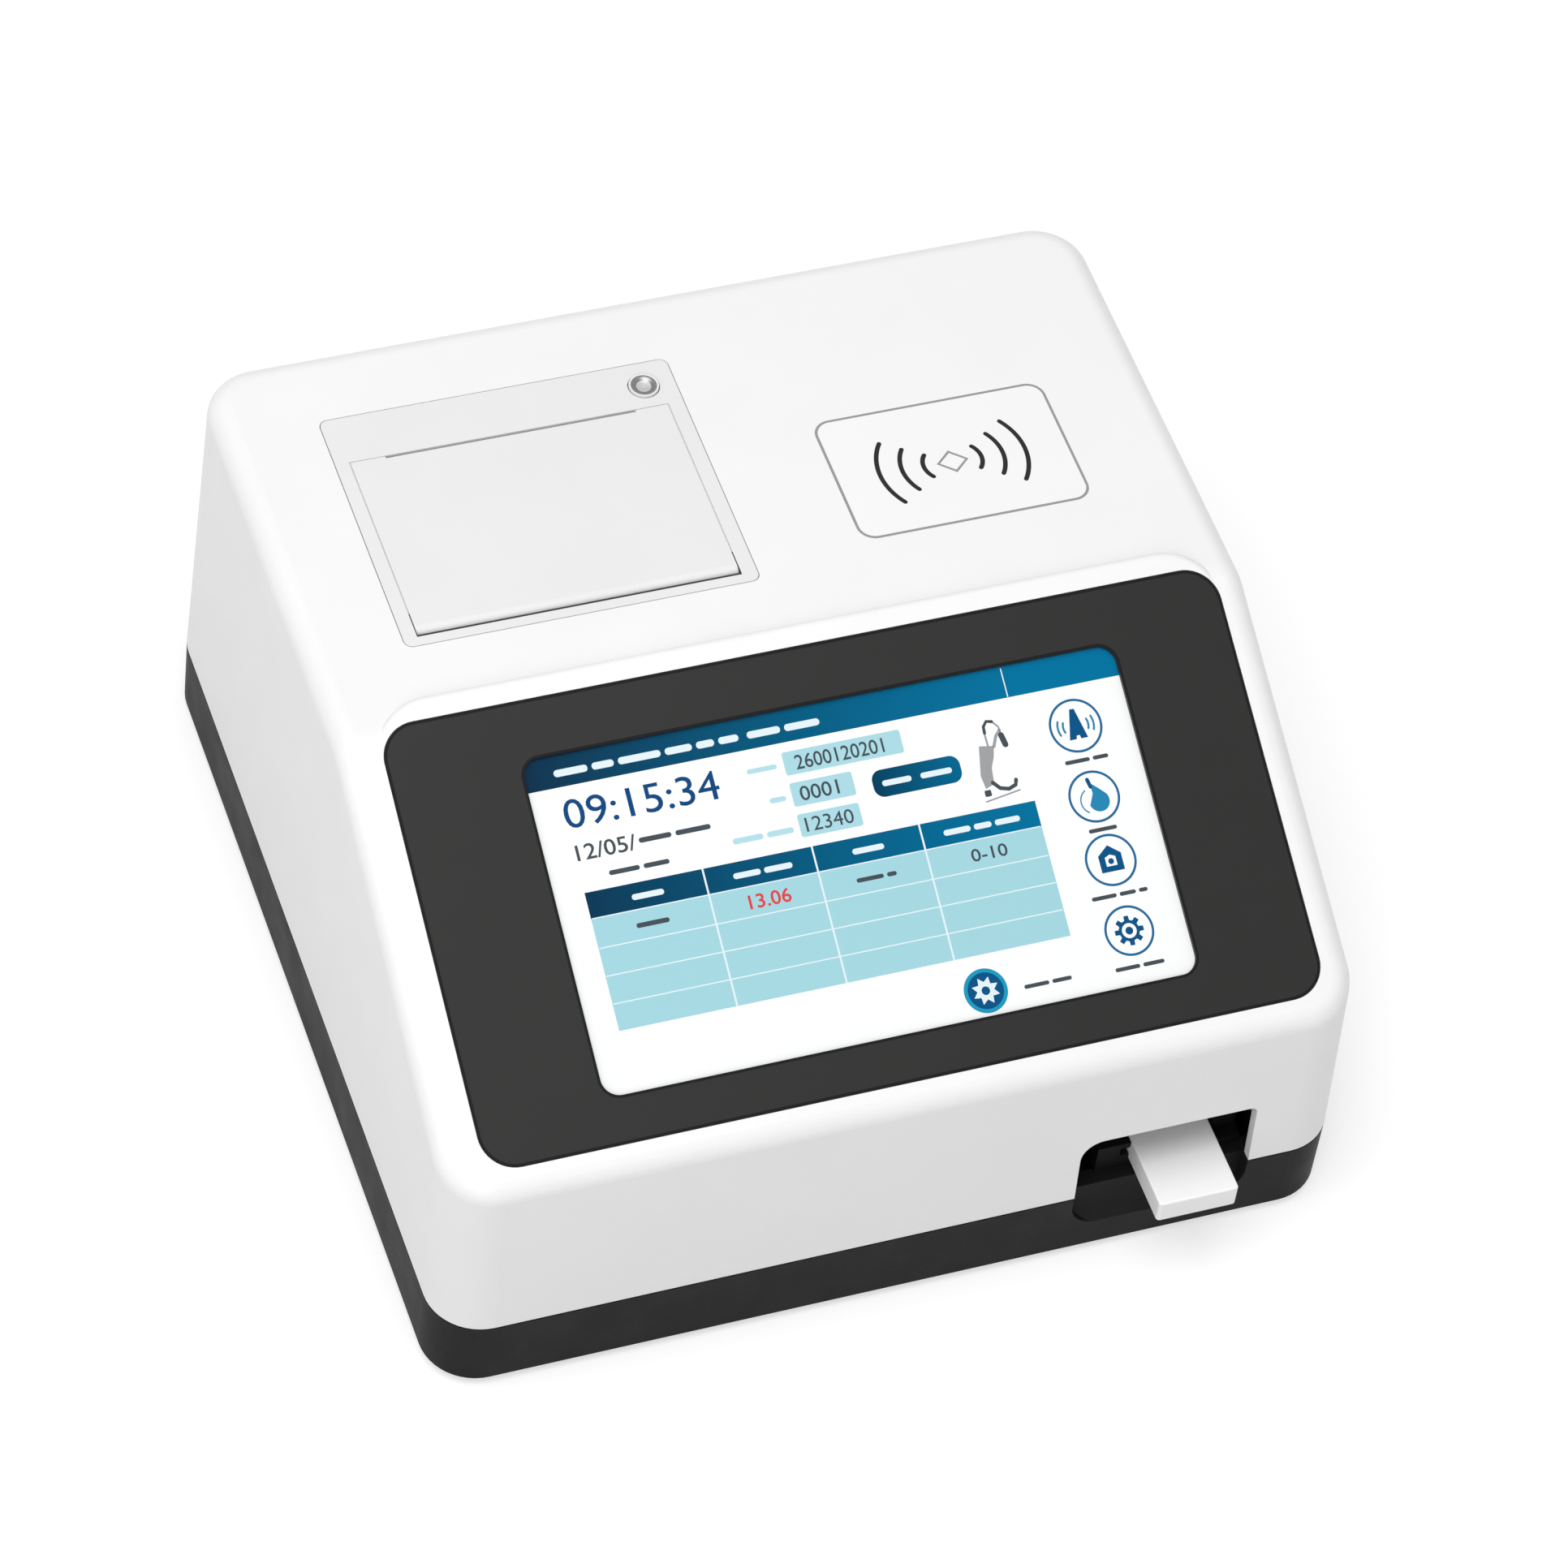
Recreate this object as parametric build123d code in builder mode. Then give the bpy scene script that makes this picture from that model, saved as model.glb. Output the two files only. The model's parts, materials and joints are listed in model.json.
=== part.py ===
from build123d import *
import os
from math import atan, cos, hypot, pi, radians, sin, sqrt, tan

os.makedirs("parts", exist_ok=True)

# Body: the origin is under the middle of the whole object, +Z up, -Y towards the user
body_width = 238.0
body_depth = 240.0
foot_height = 2.5
base_height = 21.4
front_wall_height = 49.6
deck_height = 99.9
slope_angle = 25.9
front_lean = 3.5
side_lean = 0.8
rear_lean = 6.5
wall = 2.8
plan_corner = 14.0
edge_round = 6.0
break_round = 14.0
base_edge_round = 0.6
seam_groove = 0.5
lip_height = 2.4
lip_width = 1.2
lip_gap = 0.3
foot_radius = 7.0
foot_side_inset = 31.0
foot_inset = 24.0

# Card drawer and its port in the front wall
drawer_from_side = 44.35
drawer_width = 21.3
drawer_height = 6.6
drawer_out = 12.0
drawer_length = 112.0
drawer_lift = 0.5
drawer_gap = 0.3
drawer_edge = 0.5
runner_width = 2.5
runner_height = 2.4
runner_start = 26.0
pocket_width = 17.2
pocket_length = 66.0
pocket_depth = 4.4
pocket_start = 26.0
clip_thick = 0.4
clip_bow = 0.9
clip_length = 20.0
flag_thick = 1.0
flag_length = 8.0
flag_height = 4.0
flag_shift = 7.85
port_from_side = 25.6
port_width = 46.9
port_height = 20.4
port_round = 6.0
port_round_small = 2.0
scoop_depth = 4.5
scoop_drop = 12.0
scoop_side_round = 8.0

# Drawer guide, rack, pinion and motor
guide_front = 8.0
guide_length = 109.6
guide_left_reach = 19.65
guide_right_reach = 19.55
cheek_front = 12.0
guide_height = 13.6
guide_floor = 2.2
guide_end = 3.6
cheek_round = 1.5
runner_gap = 0.25
lug_thick = 4.0
lug_half = 4.0
guide_ear = 7.0
ear_length = 8.0
front_ear = 40.0
rear_ear = 106.0
pressure_angle = 20.0
gear_module = 0.8
pinion_teeth = 14
rack_width = 6.0
rack_back = 0.2
rack_side_gap = 0.7
rack_start = 12.0
rack_end = 110.0
pinion_depth = 24.0
pinion_shaft_radius = 1.5
shaft_clearance = 0.05
gear_backlash = 0.16
gear_centre_extra = 0.08
drawer_motor_radius = 10.0
drawer_motor_length = 18.0
motor_bracket_width = 22.0
motor_bracket_height = 22.0
motor_bracket_foot = 8.6
motor_nose_radius = 4.0
sensor_slot = 3.2
sensor_leg = 2.6
sensor_length = 7.0
sensor_height = 3.6
bracket_sheet = 1.4
short_boss = 3.0
short_boss_radius = 3.0

# Screen
surround_margin = 10.15
surround_length = 111.6
surround_start = 6.3
surround_shift = 1.2
surround_thick = 1.2
surround_corner = 9.0
surround_gap = 0.15
window_width = 154.2
window_length = 85.0
window_shift = 0.9
window_rise = 54.3
window_corner = 4.6
touch_border = 4.5
touch_thick = 1.8
module_border = 6.0
module_thick = 5.0
module_gap = 0.5
module_corner = 2.0
screen_boss_radius = 3.5
screen_boss_pitch = 76.0
bracket_thick = 1.0
bracket_border = 12.0
bracket_rim = 16.0
rim_behind = 6.0
rim_beside = 1.4
rim_corner = 15.0
rim_drop = 9.0
rim_round = 2.0

# Printer unit in the deck
printer_from_side = 26.1
printer_front = 133.4
printer_width = 91.7
printer_length = 76.5
printer_depth = 54.0
printer_corner = 2.2
printer_gap = 0.2
frame_left_side = 3.6
frame_right_side = 4.0
frame_front = 2.7
frame_floor = 2.5
frame_rear = 2.9
cover_thick = 2.4
printer_boss = 6.0
printer_boss_pitch = 50.0
tab_thick = 3.0
door_side_gap = 0.3
door_front_gap = 0.7
door_length = 58.0
door_thick = 2.2
door_rear_gap = 0.25
paper_slot_width = 65.8
paper_slot_shift = 0.25
paper_slot_gap = 0.6
rib_depth = 2.0
rib_width = 1.6
hinge_radius = 3.0
hinge_pin_radius = 1.25
pin_seat = 3.0
pin_clearance = 0.03
platen_radius = 4.4
platen_length = 62.5
platen_drop = 8.0
platen_setback = 6.2
platen_shaft_radius = 1.5
arm_thick = 2.5
arm_half_width = 3.6
arm_place = 4.9
printer_gear_module = 0.5
printer_gear_width = 2.4
platen_teeth = 18
idler_teeth = 24
motor_teeth = 12
fine_backlash = 0.12
fine_extra = 0.05
gear_from_side = 2.5
motor_gear_turn = 45.0
axle_radius = 1.5
printer_motor_radius = 7.5
printer_motor_length = 14.5
motor_face_gap = 2.2
motor_shaft_radius = 1.0
collar_edge = 1.2
collar_width = 2.0
collar_thick = 1.5
head_thick = 5.0
head_height = 11.0
head_drop = 3.0
head_gap = 0.6
spring_sheet = 0.5
spring_width = 40.0
roll_radius = 19.0
roll_width = 58.0
roll_setback = 28.6
roll_drop = 28.5
core_radius = 7.5
core_bore = 6.25
hub_reach = 5.0
cheek_thick = 2.5
cheek_width = 20.0
cheek_gap = 0.6
button_radius = 3.9
button_gap = 0.25
button_proud = 0.5
button_flange = 5.0
button_dish = 0.8
dish_radius = 8.0
button_stem = 1.5
button_flange_thick = 1.2
button_from_right = 8.3
button_from_rear = 7.8
button_shelf = 10.0
shelf_thick = 2.0
coil_radius = 2.6
coil_wire = 0.45
coil_turns = 5

# Contactless reader in the deck
reader_gap = 28.8
reader_front = 139.2
reader_width = 62.0
reader_length = 40.5
reader_corner = 4.6
reader_film = 0.4
antenna_border = 3.0
antenna_thick = 1.2
antenna_drop = 2.0
antenna_post_radius = 2.6

# Optics above the drawer
bridge_front = 44.0
bridge_length = 44.0
bridge_left_reach = 29.65
bridge_right_reach = 29.55
bridge_foot = 7.0
bridge_sheet = 1.2
bridge_gap = 5.4
optics_front = 46.0
optics_length = 40.0
optics_width = 36.0
optics_height = 30.0
main_bore = 6.0
side_bore = 5.0
bore_gap = 0.05
lens_thick = 4.0
filter_thick = 2.0
mirror_thick = 1.1
detector_reach = 1.6
detector_size = 4.0
light_board = 12.0
light_board_thick = 1.6
light_dome = 2.5
sink_size = 20.0
sink_depth = 10.0
sink_base = 2.5
fin_count = 6
fin_thick = 1.2

# Main board and rear sockets
board_from_side = 23.0
board_width = 140.0
board_front = 122.0
board_rear_gap = 5.5
board_thick = 1.6
board_lift = 6.0
board_inset = 5.0
socket_inset = 0.6
socket_gap = 0.4
inlet_place = 118.0
inlet_size = (9.0, 13.0, 9.0)
usb_places = (90.0, 70.0)
usb_size = (13.1, 14.0, 7.1)
usb_opening = (11.9, 5.3)
network_place = 20.0
network_size = (16.0, 18.0, 13.4)
network_opening = (11.8, 8.6)
inlet_bore = 3.0
inlet_pin = 0.9
header_height = 5.0
ribbon_thick = 0.5
ribbon_bend = 5.0
display_ribbon_x = -30.0
display_ribbon_width = 22.0
display_ribbon_along = 80.0
display_header_inset = 6.0
printer_ribbon_width = 22.0
ribbon_from_rear = 6.2
ribbon_pass = 1.4
processor_place = 62.0
processor_share = 0.39
processor_size = 27.0
processor_height = 2.6
# chips: place across the board, share of its length, width, length and height
chips = (
    (20.0, 0.2, 14.0, 14.0, 2.0),
    (40.0, 0.2, 10.0, 10.0, 1.6),
    (26.0, 0.45, 12.0, 18.0, 1.4),
    (98.0, 0.23, 14.0, 20.0, 2.4),
    (122.0, 0.35, 10.0, 10.0, 4.0),
    (102.0, 0.55, 22.0, 8.0, 3.0),
)
# round parts, such as capacitors and the buzzer: place, share, radius and height
round_parts = (
    (124.0, 0.58, 4.0, 10.0),
    (124.0, 0.72, 4.0, 10.0),
    (102.0, 0.75, 3.2, 8.0),
    (16.0, 0.66, 9.0, 4.0),
    (84.0, 0.72, 6.0, 5.0),
)

# Rear vents and power switch
vent_count = 9
vent_pitch = 6.0
vent_width = 2.4
vent_height = 26.0
vent_from_side = 57.0
vent_rise = 46.0
switch_from_side = 39.0
switch_rise = 22.0
switch_width = 13.0
switch_height = 19.6
switch_depth = 14.0
switch_flange = 1.2
switch_flange_thick = 1.0
switch_recess = 4.3
recess_border = 3.6
rocker_width = 9.6
rocker_length = 16.0
rocker_edge = 1.4
rocker_gap = 0.4
rocker_tilt = 8.0
rocker_hub = 2.6
rocker_rise = 3.3
rocker_sink = 1.3
rocker_pin_radius = 1.0
rocker_pin_reach = 0.9

# Fasteners
screw_radius = 1.5
screw_head_radius = 2.8
screw_head_height = 1.8
small_screw_radius = 1.2
small_head_radius = 2.2
small_head_height = 1.4
thread_gap = 0.05
screw_clearance = 0.2
post_radius = 4.5
corner_post_side = 15.0
corner_post_inset = 16.0
head_recess = 1.2
screw_grip = 12.0
small_grip = 5.0
small_screw_hole = small_screw_radius + screw_clearance
small_screw_form = (small_screw_radius, small_head_radius, small_head_height)
screw_form = (screw_radius, screw_head_radius, screw_head_height)

# Places worked out from the sizes above
front_y = (drawer_out - body_depth) / 2
rear_y = front_y + body_depth
underside_z = foot_height
floor_z = underside_z + wall
seam_z = underside_z + base_height
front_top_z = seam_z + front_wall_height
deck_z = seam_z + deck_height
deck_under_z = deck_z - wall
rise = tan(radians(slope_angle))
slope_y = front_y + front_lean
slope_plane = Plane(
    origin=(0, slope_y, front_top_z),
    x_dir=(1, 0, 0),
    z_dir=(0, -sin(radians(slope_angle)), cos(radians(slope_angle))),
)
drawer_x = body_width / 2 - drawer_from_side
drawer_low = seam_z + drawer_lift
drawer_top = drawer_low + drawer_height
guide_under = drawer_low - drawer_gap - guide_floor
guide_left = drawer_x - guide_left_reach
guide_right = drawer_x + guide_right_reach
bridge_left = drawer_x - bridge_left_reach
bridge_right = drawer_x + bridge_right_reach
port_right = body_width / 2 - port_from_side
port_left = port_right - port_width
board_left = board_from_side - body_width / 2
inlet_x = board_left + inlet_place
usb_x = [board_left + place for place in usb_places]
network_x = board_left + network_place
corner_posts = [
    (side * (body_width / 2 - corner_post_side), place)
    for side in (-1, 1)
    for place in (front_y + corner_post_inset, rear_y - corner_post_inset)
]


def slope_under(y, depth):
    """Height of the plane that lies depth below the sloping face, at a given y."""
    return front_top_z + (y - slope_y) * rise - depth / cos(radians(slope_angle))


def slope_point(along, depth):
    """The y and z of a point that lies along the slope and depth below it."""
    place = slope_plane.from_local_coords((0, along, -depth))
    return (place.Y, place.Z)


def polar(radius, angle):
    return (radius * cos(angle), radius * sin(angle))


def side_plane(x, y, z, turn=0):
    """Plane seen from +X with its local x along +Y, turned about +X by an angle in degrees."""
    return Plane(origin=(x, y, z), x_dir=(0, cos(radians(turn)), sin(radians(turn))), z_dir=(1, 0, 0))


def gear_points(teeth, module, backlash, phase):
    """Involute outline of a spur gear about the local origin, one tooth centred on phase."""
    pitch = teeth * module / 2
    base = pitch * cos(radians(pressure_angle))
    root = pitch - 1.25 * module
    start = max(base, root)
    roll_at_pitch = sqrt((pitch / base) ** 2 - 1)
    half_tooth = pi / (2 * teeth) - backlash / (2 * pitch) + roll_at_pitch - atan(roll_at_pitch)
    flank = []
    for share in (0, 0.35, 0.7, 1):
        radius = start + (pitch + module - start) * share
        roll = sqrt((radius / base) ** 2 - 1)
        flank.append((radius, half_tooth - roll + atan(roll)))
    points = []
    for tooth in range(teeth):
        middle = 2 * pi * tooth / teeth + phase
        points.append(polar(root, middle - flank[0][1] - 0.001))
        points += [polar(radius, middle - turn) for radius, turn in flank]
        points += [polar(radius, middle + turn) for radius, turn in reversed(flank)]
        points.append(polar(root, middle + flank[0][1] + 0.001))
    return points


def plan_block(low_z, high_z, inset):
    """Upright block of the base's plan, set in from its outline."""
    with BuildPart() as block:
        with BuildSketch(Plane.XY.offset(low_z)):
            with Locations((0, (front_y + rear_y) / 2)):
                RectangleRounded(body_width - 2 * inset, body_depth - 2 * inset, plan_corner - inset)
        extrude(amount=high_z - low_z)
    return block.part


def leaning_form(inset, low_z):
    """The upper housing's form with sharp top edges, set in from its outer faces."""
    form_top = deck_z + break_round
    with BuildPart() as form:
        for level in (low_z, form_top):
            near_y = front_y + inset + front_lean * (level - seam_z) / front_wall_height
            height_share = (level - seam_z) / deck_height
            far_y = rear_y - inset - rear_lean * height_share
            width = body_width - 2 * inset - 2 * side_lean * height_share
            with BuildSketch(Plane.XY.offset(level)):
                with Locations((0, (near_y + far_y) / 2)):
                    RectangleRounded(width, far_y - near_y, plan_corner - inset)
        loft(ruled=True)
        near_z = slope_under(front_y - wall, inset)
        top_z = deck_z - inset
        with BuildSketch(Plane.YZ) as side_view:
            with BuildLine():
                Polyline(
                    (front_y - wall, low_z),
                    (front_y - wall, near_z),
                    (front_y - wall + (top_z - near_z) / rise, top_z),
                    (rear_y + wall, top_z),
                    (rear_y + wall, low_z),
                    close=True,
                )
            make_face()
            fillet(side_view.vertices().sort_by(Axis.Y)[-2:].sort_by(Axis.X)[0], break_round - inset)
        extrude(amount=body_width, both=True, mode=Mode.INTERSECT)
    return form.part


def box_between(low, high, mode=Mode.ADD):
    """Box from its lowest corner to its highest corner."""
    size = [top - bottom for bottom, top in zip(low, high)]
    with Locations(low):
        Box(*size, align=(Align.MIN, Align.MIN, Align.MIN), mode=mode)


def upright(place, low_z, high_z, radius, mode=Mode.ADD):
    """Upright cylinder between two heights."""
    with Locations((*place, low_z)):
        Cylinder(radius, high_z - low_z, align=(Align.CENTER, Align.CENTER, Align.MIN), mode=mode)


def lengthwise(start, end, y, z, radius, mode=Mode.ADD):
    """Cylinder along X between two places."""
    with Locations((start, y, z)):
        Cylinder(
            radius,
            end - start,
            rotation=(0, 90, 0),
            align=(Align.CENTER, Align.CENTER, Align.MIN),
            mode=mode,
        )


def upward_screw(place, head_z, grip, radius, head_radius, head_height):
    """Screw put in from below, with a driver socket in its head."""
    upright(place, head_z, head_z + head_height, head_radius)
    upright(place, head_z + head_height, head_z + head_height + grip, radius)
    upright(place, head_z, head_z + head_height / 2, head_radius / 2, mode=Mode.SUBTRACT)


def downward_screw(place, seat_z, grip, radius, head_radius, head_height):
    """Screw put in from above, with a driver socket in its head."""
    upright(place, seat_z, seat_z + head_height, head_radius)
    upright(place, seat_z - grip, seat_z, radius)
    upright(place, seat_z + head_height / 2, seat_z + head_height, head_radius / 2, mode=Mode.SUBTRACT)


# Base housing: dark tray with a lip, corner posts, a finger scoop and bosses for what stands in it
board_rear = rear_y - board_rear_gap
board_under = floor_z + board_lift
board_top = board_under + board_thick
board_right = board_left + board_width
board_bosses = [
    (x, y)
    for x in (board_left + board_inset, board_right - board_inset)
    for y in (front_y + board_front + board_inset, board_rear - board_inset)
]
ear_x = (guide_left - guide_ear / 2, guide_right + guide_ear / 2)
guide_bosses = [(x, front_y + y) for x in ear_x for y in (front_ear, rear_ear)]
boss_top = floor_z + short_boss
pinion_y = front_y + pinion_depth
motor_right = guide_left - bracket_sheet - guide_ear / 2 - short_boss_radius / 2
motor_foot_x = motor_right + bracket_sheet + motor_bracket_foot / 2
motor_bosses = [(motor_foot_x, pinion_y + side * motor_bracket_width / 3) for side in (-1, 1)]
bridge_feet_x = (bridge_left - bridge_foot / 2, bridge_right + bridge_foot / 2)
bridge_bosses = [
    (x, front_y + bridge_front + y)
    for x in bridge_feet_x
    for y in (bridge_length / 6, bridge_length * 5 / 6)
]
sockets = [(inlet_x, inlet_size), (network_x, network_size)] + [(x, usb_size) for x in usb_x]
with BuildPart() as lip:
    add(plan_block(seam_z - lip_height, seam_z, wall / 2))
    add(plan_block(seam_z, seam_z + lip_height, wall + lip_gap))
    add(plan_block(seam_z - lip_height, seam_z + lip_height, wall + lip_gap + lip_width), mode=Mode.SUBTRACT)

with BuildPart() as scoop_tool:
    with BuildSketch(Plane.YZ.offset(port_left)):
        with BuildLine():
            Polyline(
                (front_y, seam_z - scoop_drop),
                (front_y - wall, seam_z - scoop_drop),
                (front_y - wall, seam_z + lip_height),
                (front_y + scoop_depth, seam_z + lip_height),
                (front_y + scoop_depth, guide_under),
            )
            RadiusArc((front_y + scoop_depth, guide_under), (front_y, seam_z - scoop_drop), scoop_drop)
        make_face()
    extrude(amount=port_right - port_left)
    with BuildSketch(Plane.XZ.offset(-front_y - 2 * scoop_depth)) as scoop_view:
        with Locations(((port_left + port_right) / 2, seam_z)):
            Rectangle(port_right - port_left, 2 * scoop_drop)
        fillet(scoop_view.vertices().group_by(Axis.Y)[0], scoop_side_round)
    extrude(amount=4 * scoop_depth, mode=Mode.INTERSECT)

with BuildPart() as base_housing:
    add(plan_block(underside_z, seam_z - seam_groove, 0))
    add(plan_block(seam_z - seam_groove, seam_z, seam_groove))
    fillet(base_housing.faces().sort_by(Axis.Z)[0].edges(), base_edge_round)
    add(plan_block(floor_z, seam_z + lip_height, wall), mode=Mode.SUBTRACT)
    add(lip.part)
    box_between(
        (port_left - wall, front_y + wall / 2, floor_z),
        (port_right + wall, front_y + 2 * scoop_depth, guide_under),
    )
    box_between(
        (port_left - wall, front_y + wall, guide_under),
        (port_right + wall, front_y + 2 * scoop_depth, seam_z + 2 * lip_height),
        mode=Mode.SUBTRACT,
    )
    add(scoop_tool.part, mode=Mode.SUBTRACT)
    for place in corner_posts:
        upright(place, floor_z, seam_z, post_radius)
        upright(place, underside_z, seam_z, screw_radius + screw_clearance, mode=Mode.SUBTRACT)
        head_top = underside_z + head_recess + screw_head_height
        upright(place, underside_z, head_top, screw_head_radius + screw_clearance, mode=Mode.SUBTRACT)
    for place in board_bosses:
        upright(place, floor_z, board_under, short_boss_radius)
        upright(place, floor_z, board_under, small_screw_radius + thread_gap, mode=Mode.SUBTRACT)
    for place in guide_bosses:
        upright(place, floor_z, guide_under, short_boss_radius)
        upright(place, guide_under - screw_grip, guide_under, screw_radius + thread_gap, mode=Mode.SUBTRACT)
    for place in motor_bosses + bridge_bosses:
        upright(place, floor_z, boss_top, short_boss_radius)
        upright(place, boss_top - small_grip, boss_top, small_screw_radius + thread_gap, mode=Mode.SUBTRACT)
    for x, size in sockets:
        box_between(
            (x - size[0] / 2 - socket_gap, rear_y - 2 * wall, board_top - socket_gap),
            (x + size[0] / 2 + socket_gap, rear_y + wall, board_top + size[2] + socket_gap),
            mode=Mode.SUBTRACT,
        )
base_housing.part.label = "base_housing"
export_step(base_housing.part, "parts/base_housing.step")

with BuildPart() as rubber_feet:
    for x in (foot_side_inset - body_width / 2, body_width / 2 - foot_side_inset):
        for y in (front_y + foot_inset, rear_y - foot_inset):
            upright((x, y), 0, foot_height, foot_radius)
    fillet(rubber_feet.edges().group_by(Axis.Z)[0], foot_height / 4)
rubber_feet.part.label = "rubber_feet"
export_step(rubber_feet.part, "parts/rubber_feet.step")

with BuildPart() as housing_screws:
    for place in corner_posts:
        grip = base_height - head_recess - screw_head_height + screw_grip
        head_z = underside_z + head_recess
        upward_screw(place, head_z, grip, *screw_form)
housing_screws.part.label = "housing_screws"
export_step(housing_screws.part, "parts/housing_screws.step")

# Upper housing: white shell with the drawer port, screen recess, printer opening and rear vents
surround_width = body_width - 2 * surround_margin
surround_place = (surround_shift, surround_start + surround_length / 2)
window_place = (surround_shift + window_shift, surround_start + window_rise)
module_width = window_width + 2 * module_border
module_length = window_length + 2 * module_border
touch_low = surround_thick + touch_thick
module_low = touch_low + module_thick
screen_boss_x = module_width / 2 + bracket_border / 2
screen_bosses = [
    (window_place[0] + side * screen_boss_x, window_place[1] + end * screen_boss_pitch / 2)
    for side in (-1, 1)
    for end in (-1, 1)
]
printer_left = printer_from_side - body_width / 2
printer_right = printer_left + printer_width
printer_x = printer_left + printer_width / 2
printer_near = front_y + printer_front
printer_far = printer_near + printer_length
printer_y = (printer_near + printer_far) / 2
tab_x = (printer_left - post_radius, printer_right + post_radius)
printer_bosses = [(x, printer_y + side * printer_boss_pitch / 2) for x in tab_x for side in (-1, 1)]
printer_boss_low = deck_under_z - printer_boss
reader_x = printer_right + reader_gap + reader_width / 2
reader_y = front_y + reader_front + reader_length / 2
antenna_width = reader_width - 2 * antenna_border
antenna_length = reader_length - 2 * antenna_border
antenna_top = deck_under_z - antenna_drop
antenna_posts = [
    (
        reader_x + side * (antenna_width / 2 - antenna_border),
        reader_y + end * (antenna_length / 2 - antenna_border),
    )
    for side in (-1, 1)
    for end in (-1, 1)
]
switch_x = body_width / 2 - switch_from_side
switch_z = seam_z + switch_rise
recess_width = switch_width + 2 * switch_flange + recess_border
recess_height = switch_height + 2 * switch_flange + recess_border
recess_y = rear_y - switch_recess
vent_x = vent_from_side - body_width / 2
vent_z = seam_z + vent_rise

with BuildPart() as crest:
    with BuildSketch(slope_plane):
        with Locations(surround_place):
            RectangleRounded(surround_width + 2 * rim_beside, surround_length + 2 * rim_behind, rim_corner)
    extrude(amount=-rim_drop)
    fillet(crest.faces().sort_by(Axis((0, 0, 0), slope_plane.z_dir))[-1].edges(), rim_round)
    with BuildSketch(slope_plane):
        with Locations((0, surround_start)):
            Rectangle(body_width, surround_length)
    extrude(amount=2 * rim_drop, both=True, mode=Mode.SUBTRACT)

with BuildPart() as post_cores:
    for place in corner_posts:
        upright(place, seam_z, deck_z, post_radius)
    add(leaning_form(wall / 2, seam_z), mode=Mode.INTERSECT)

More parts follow.
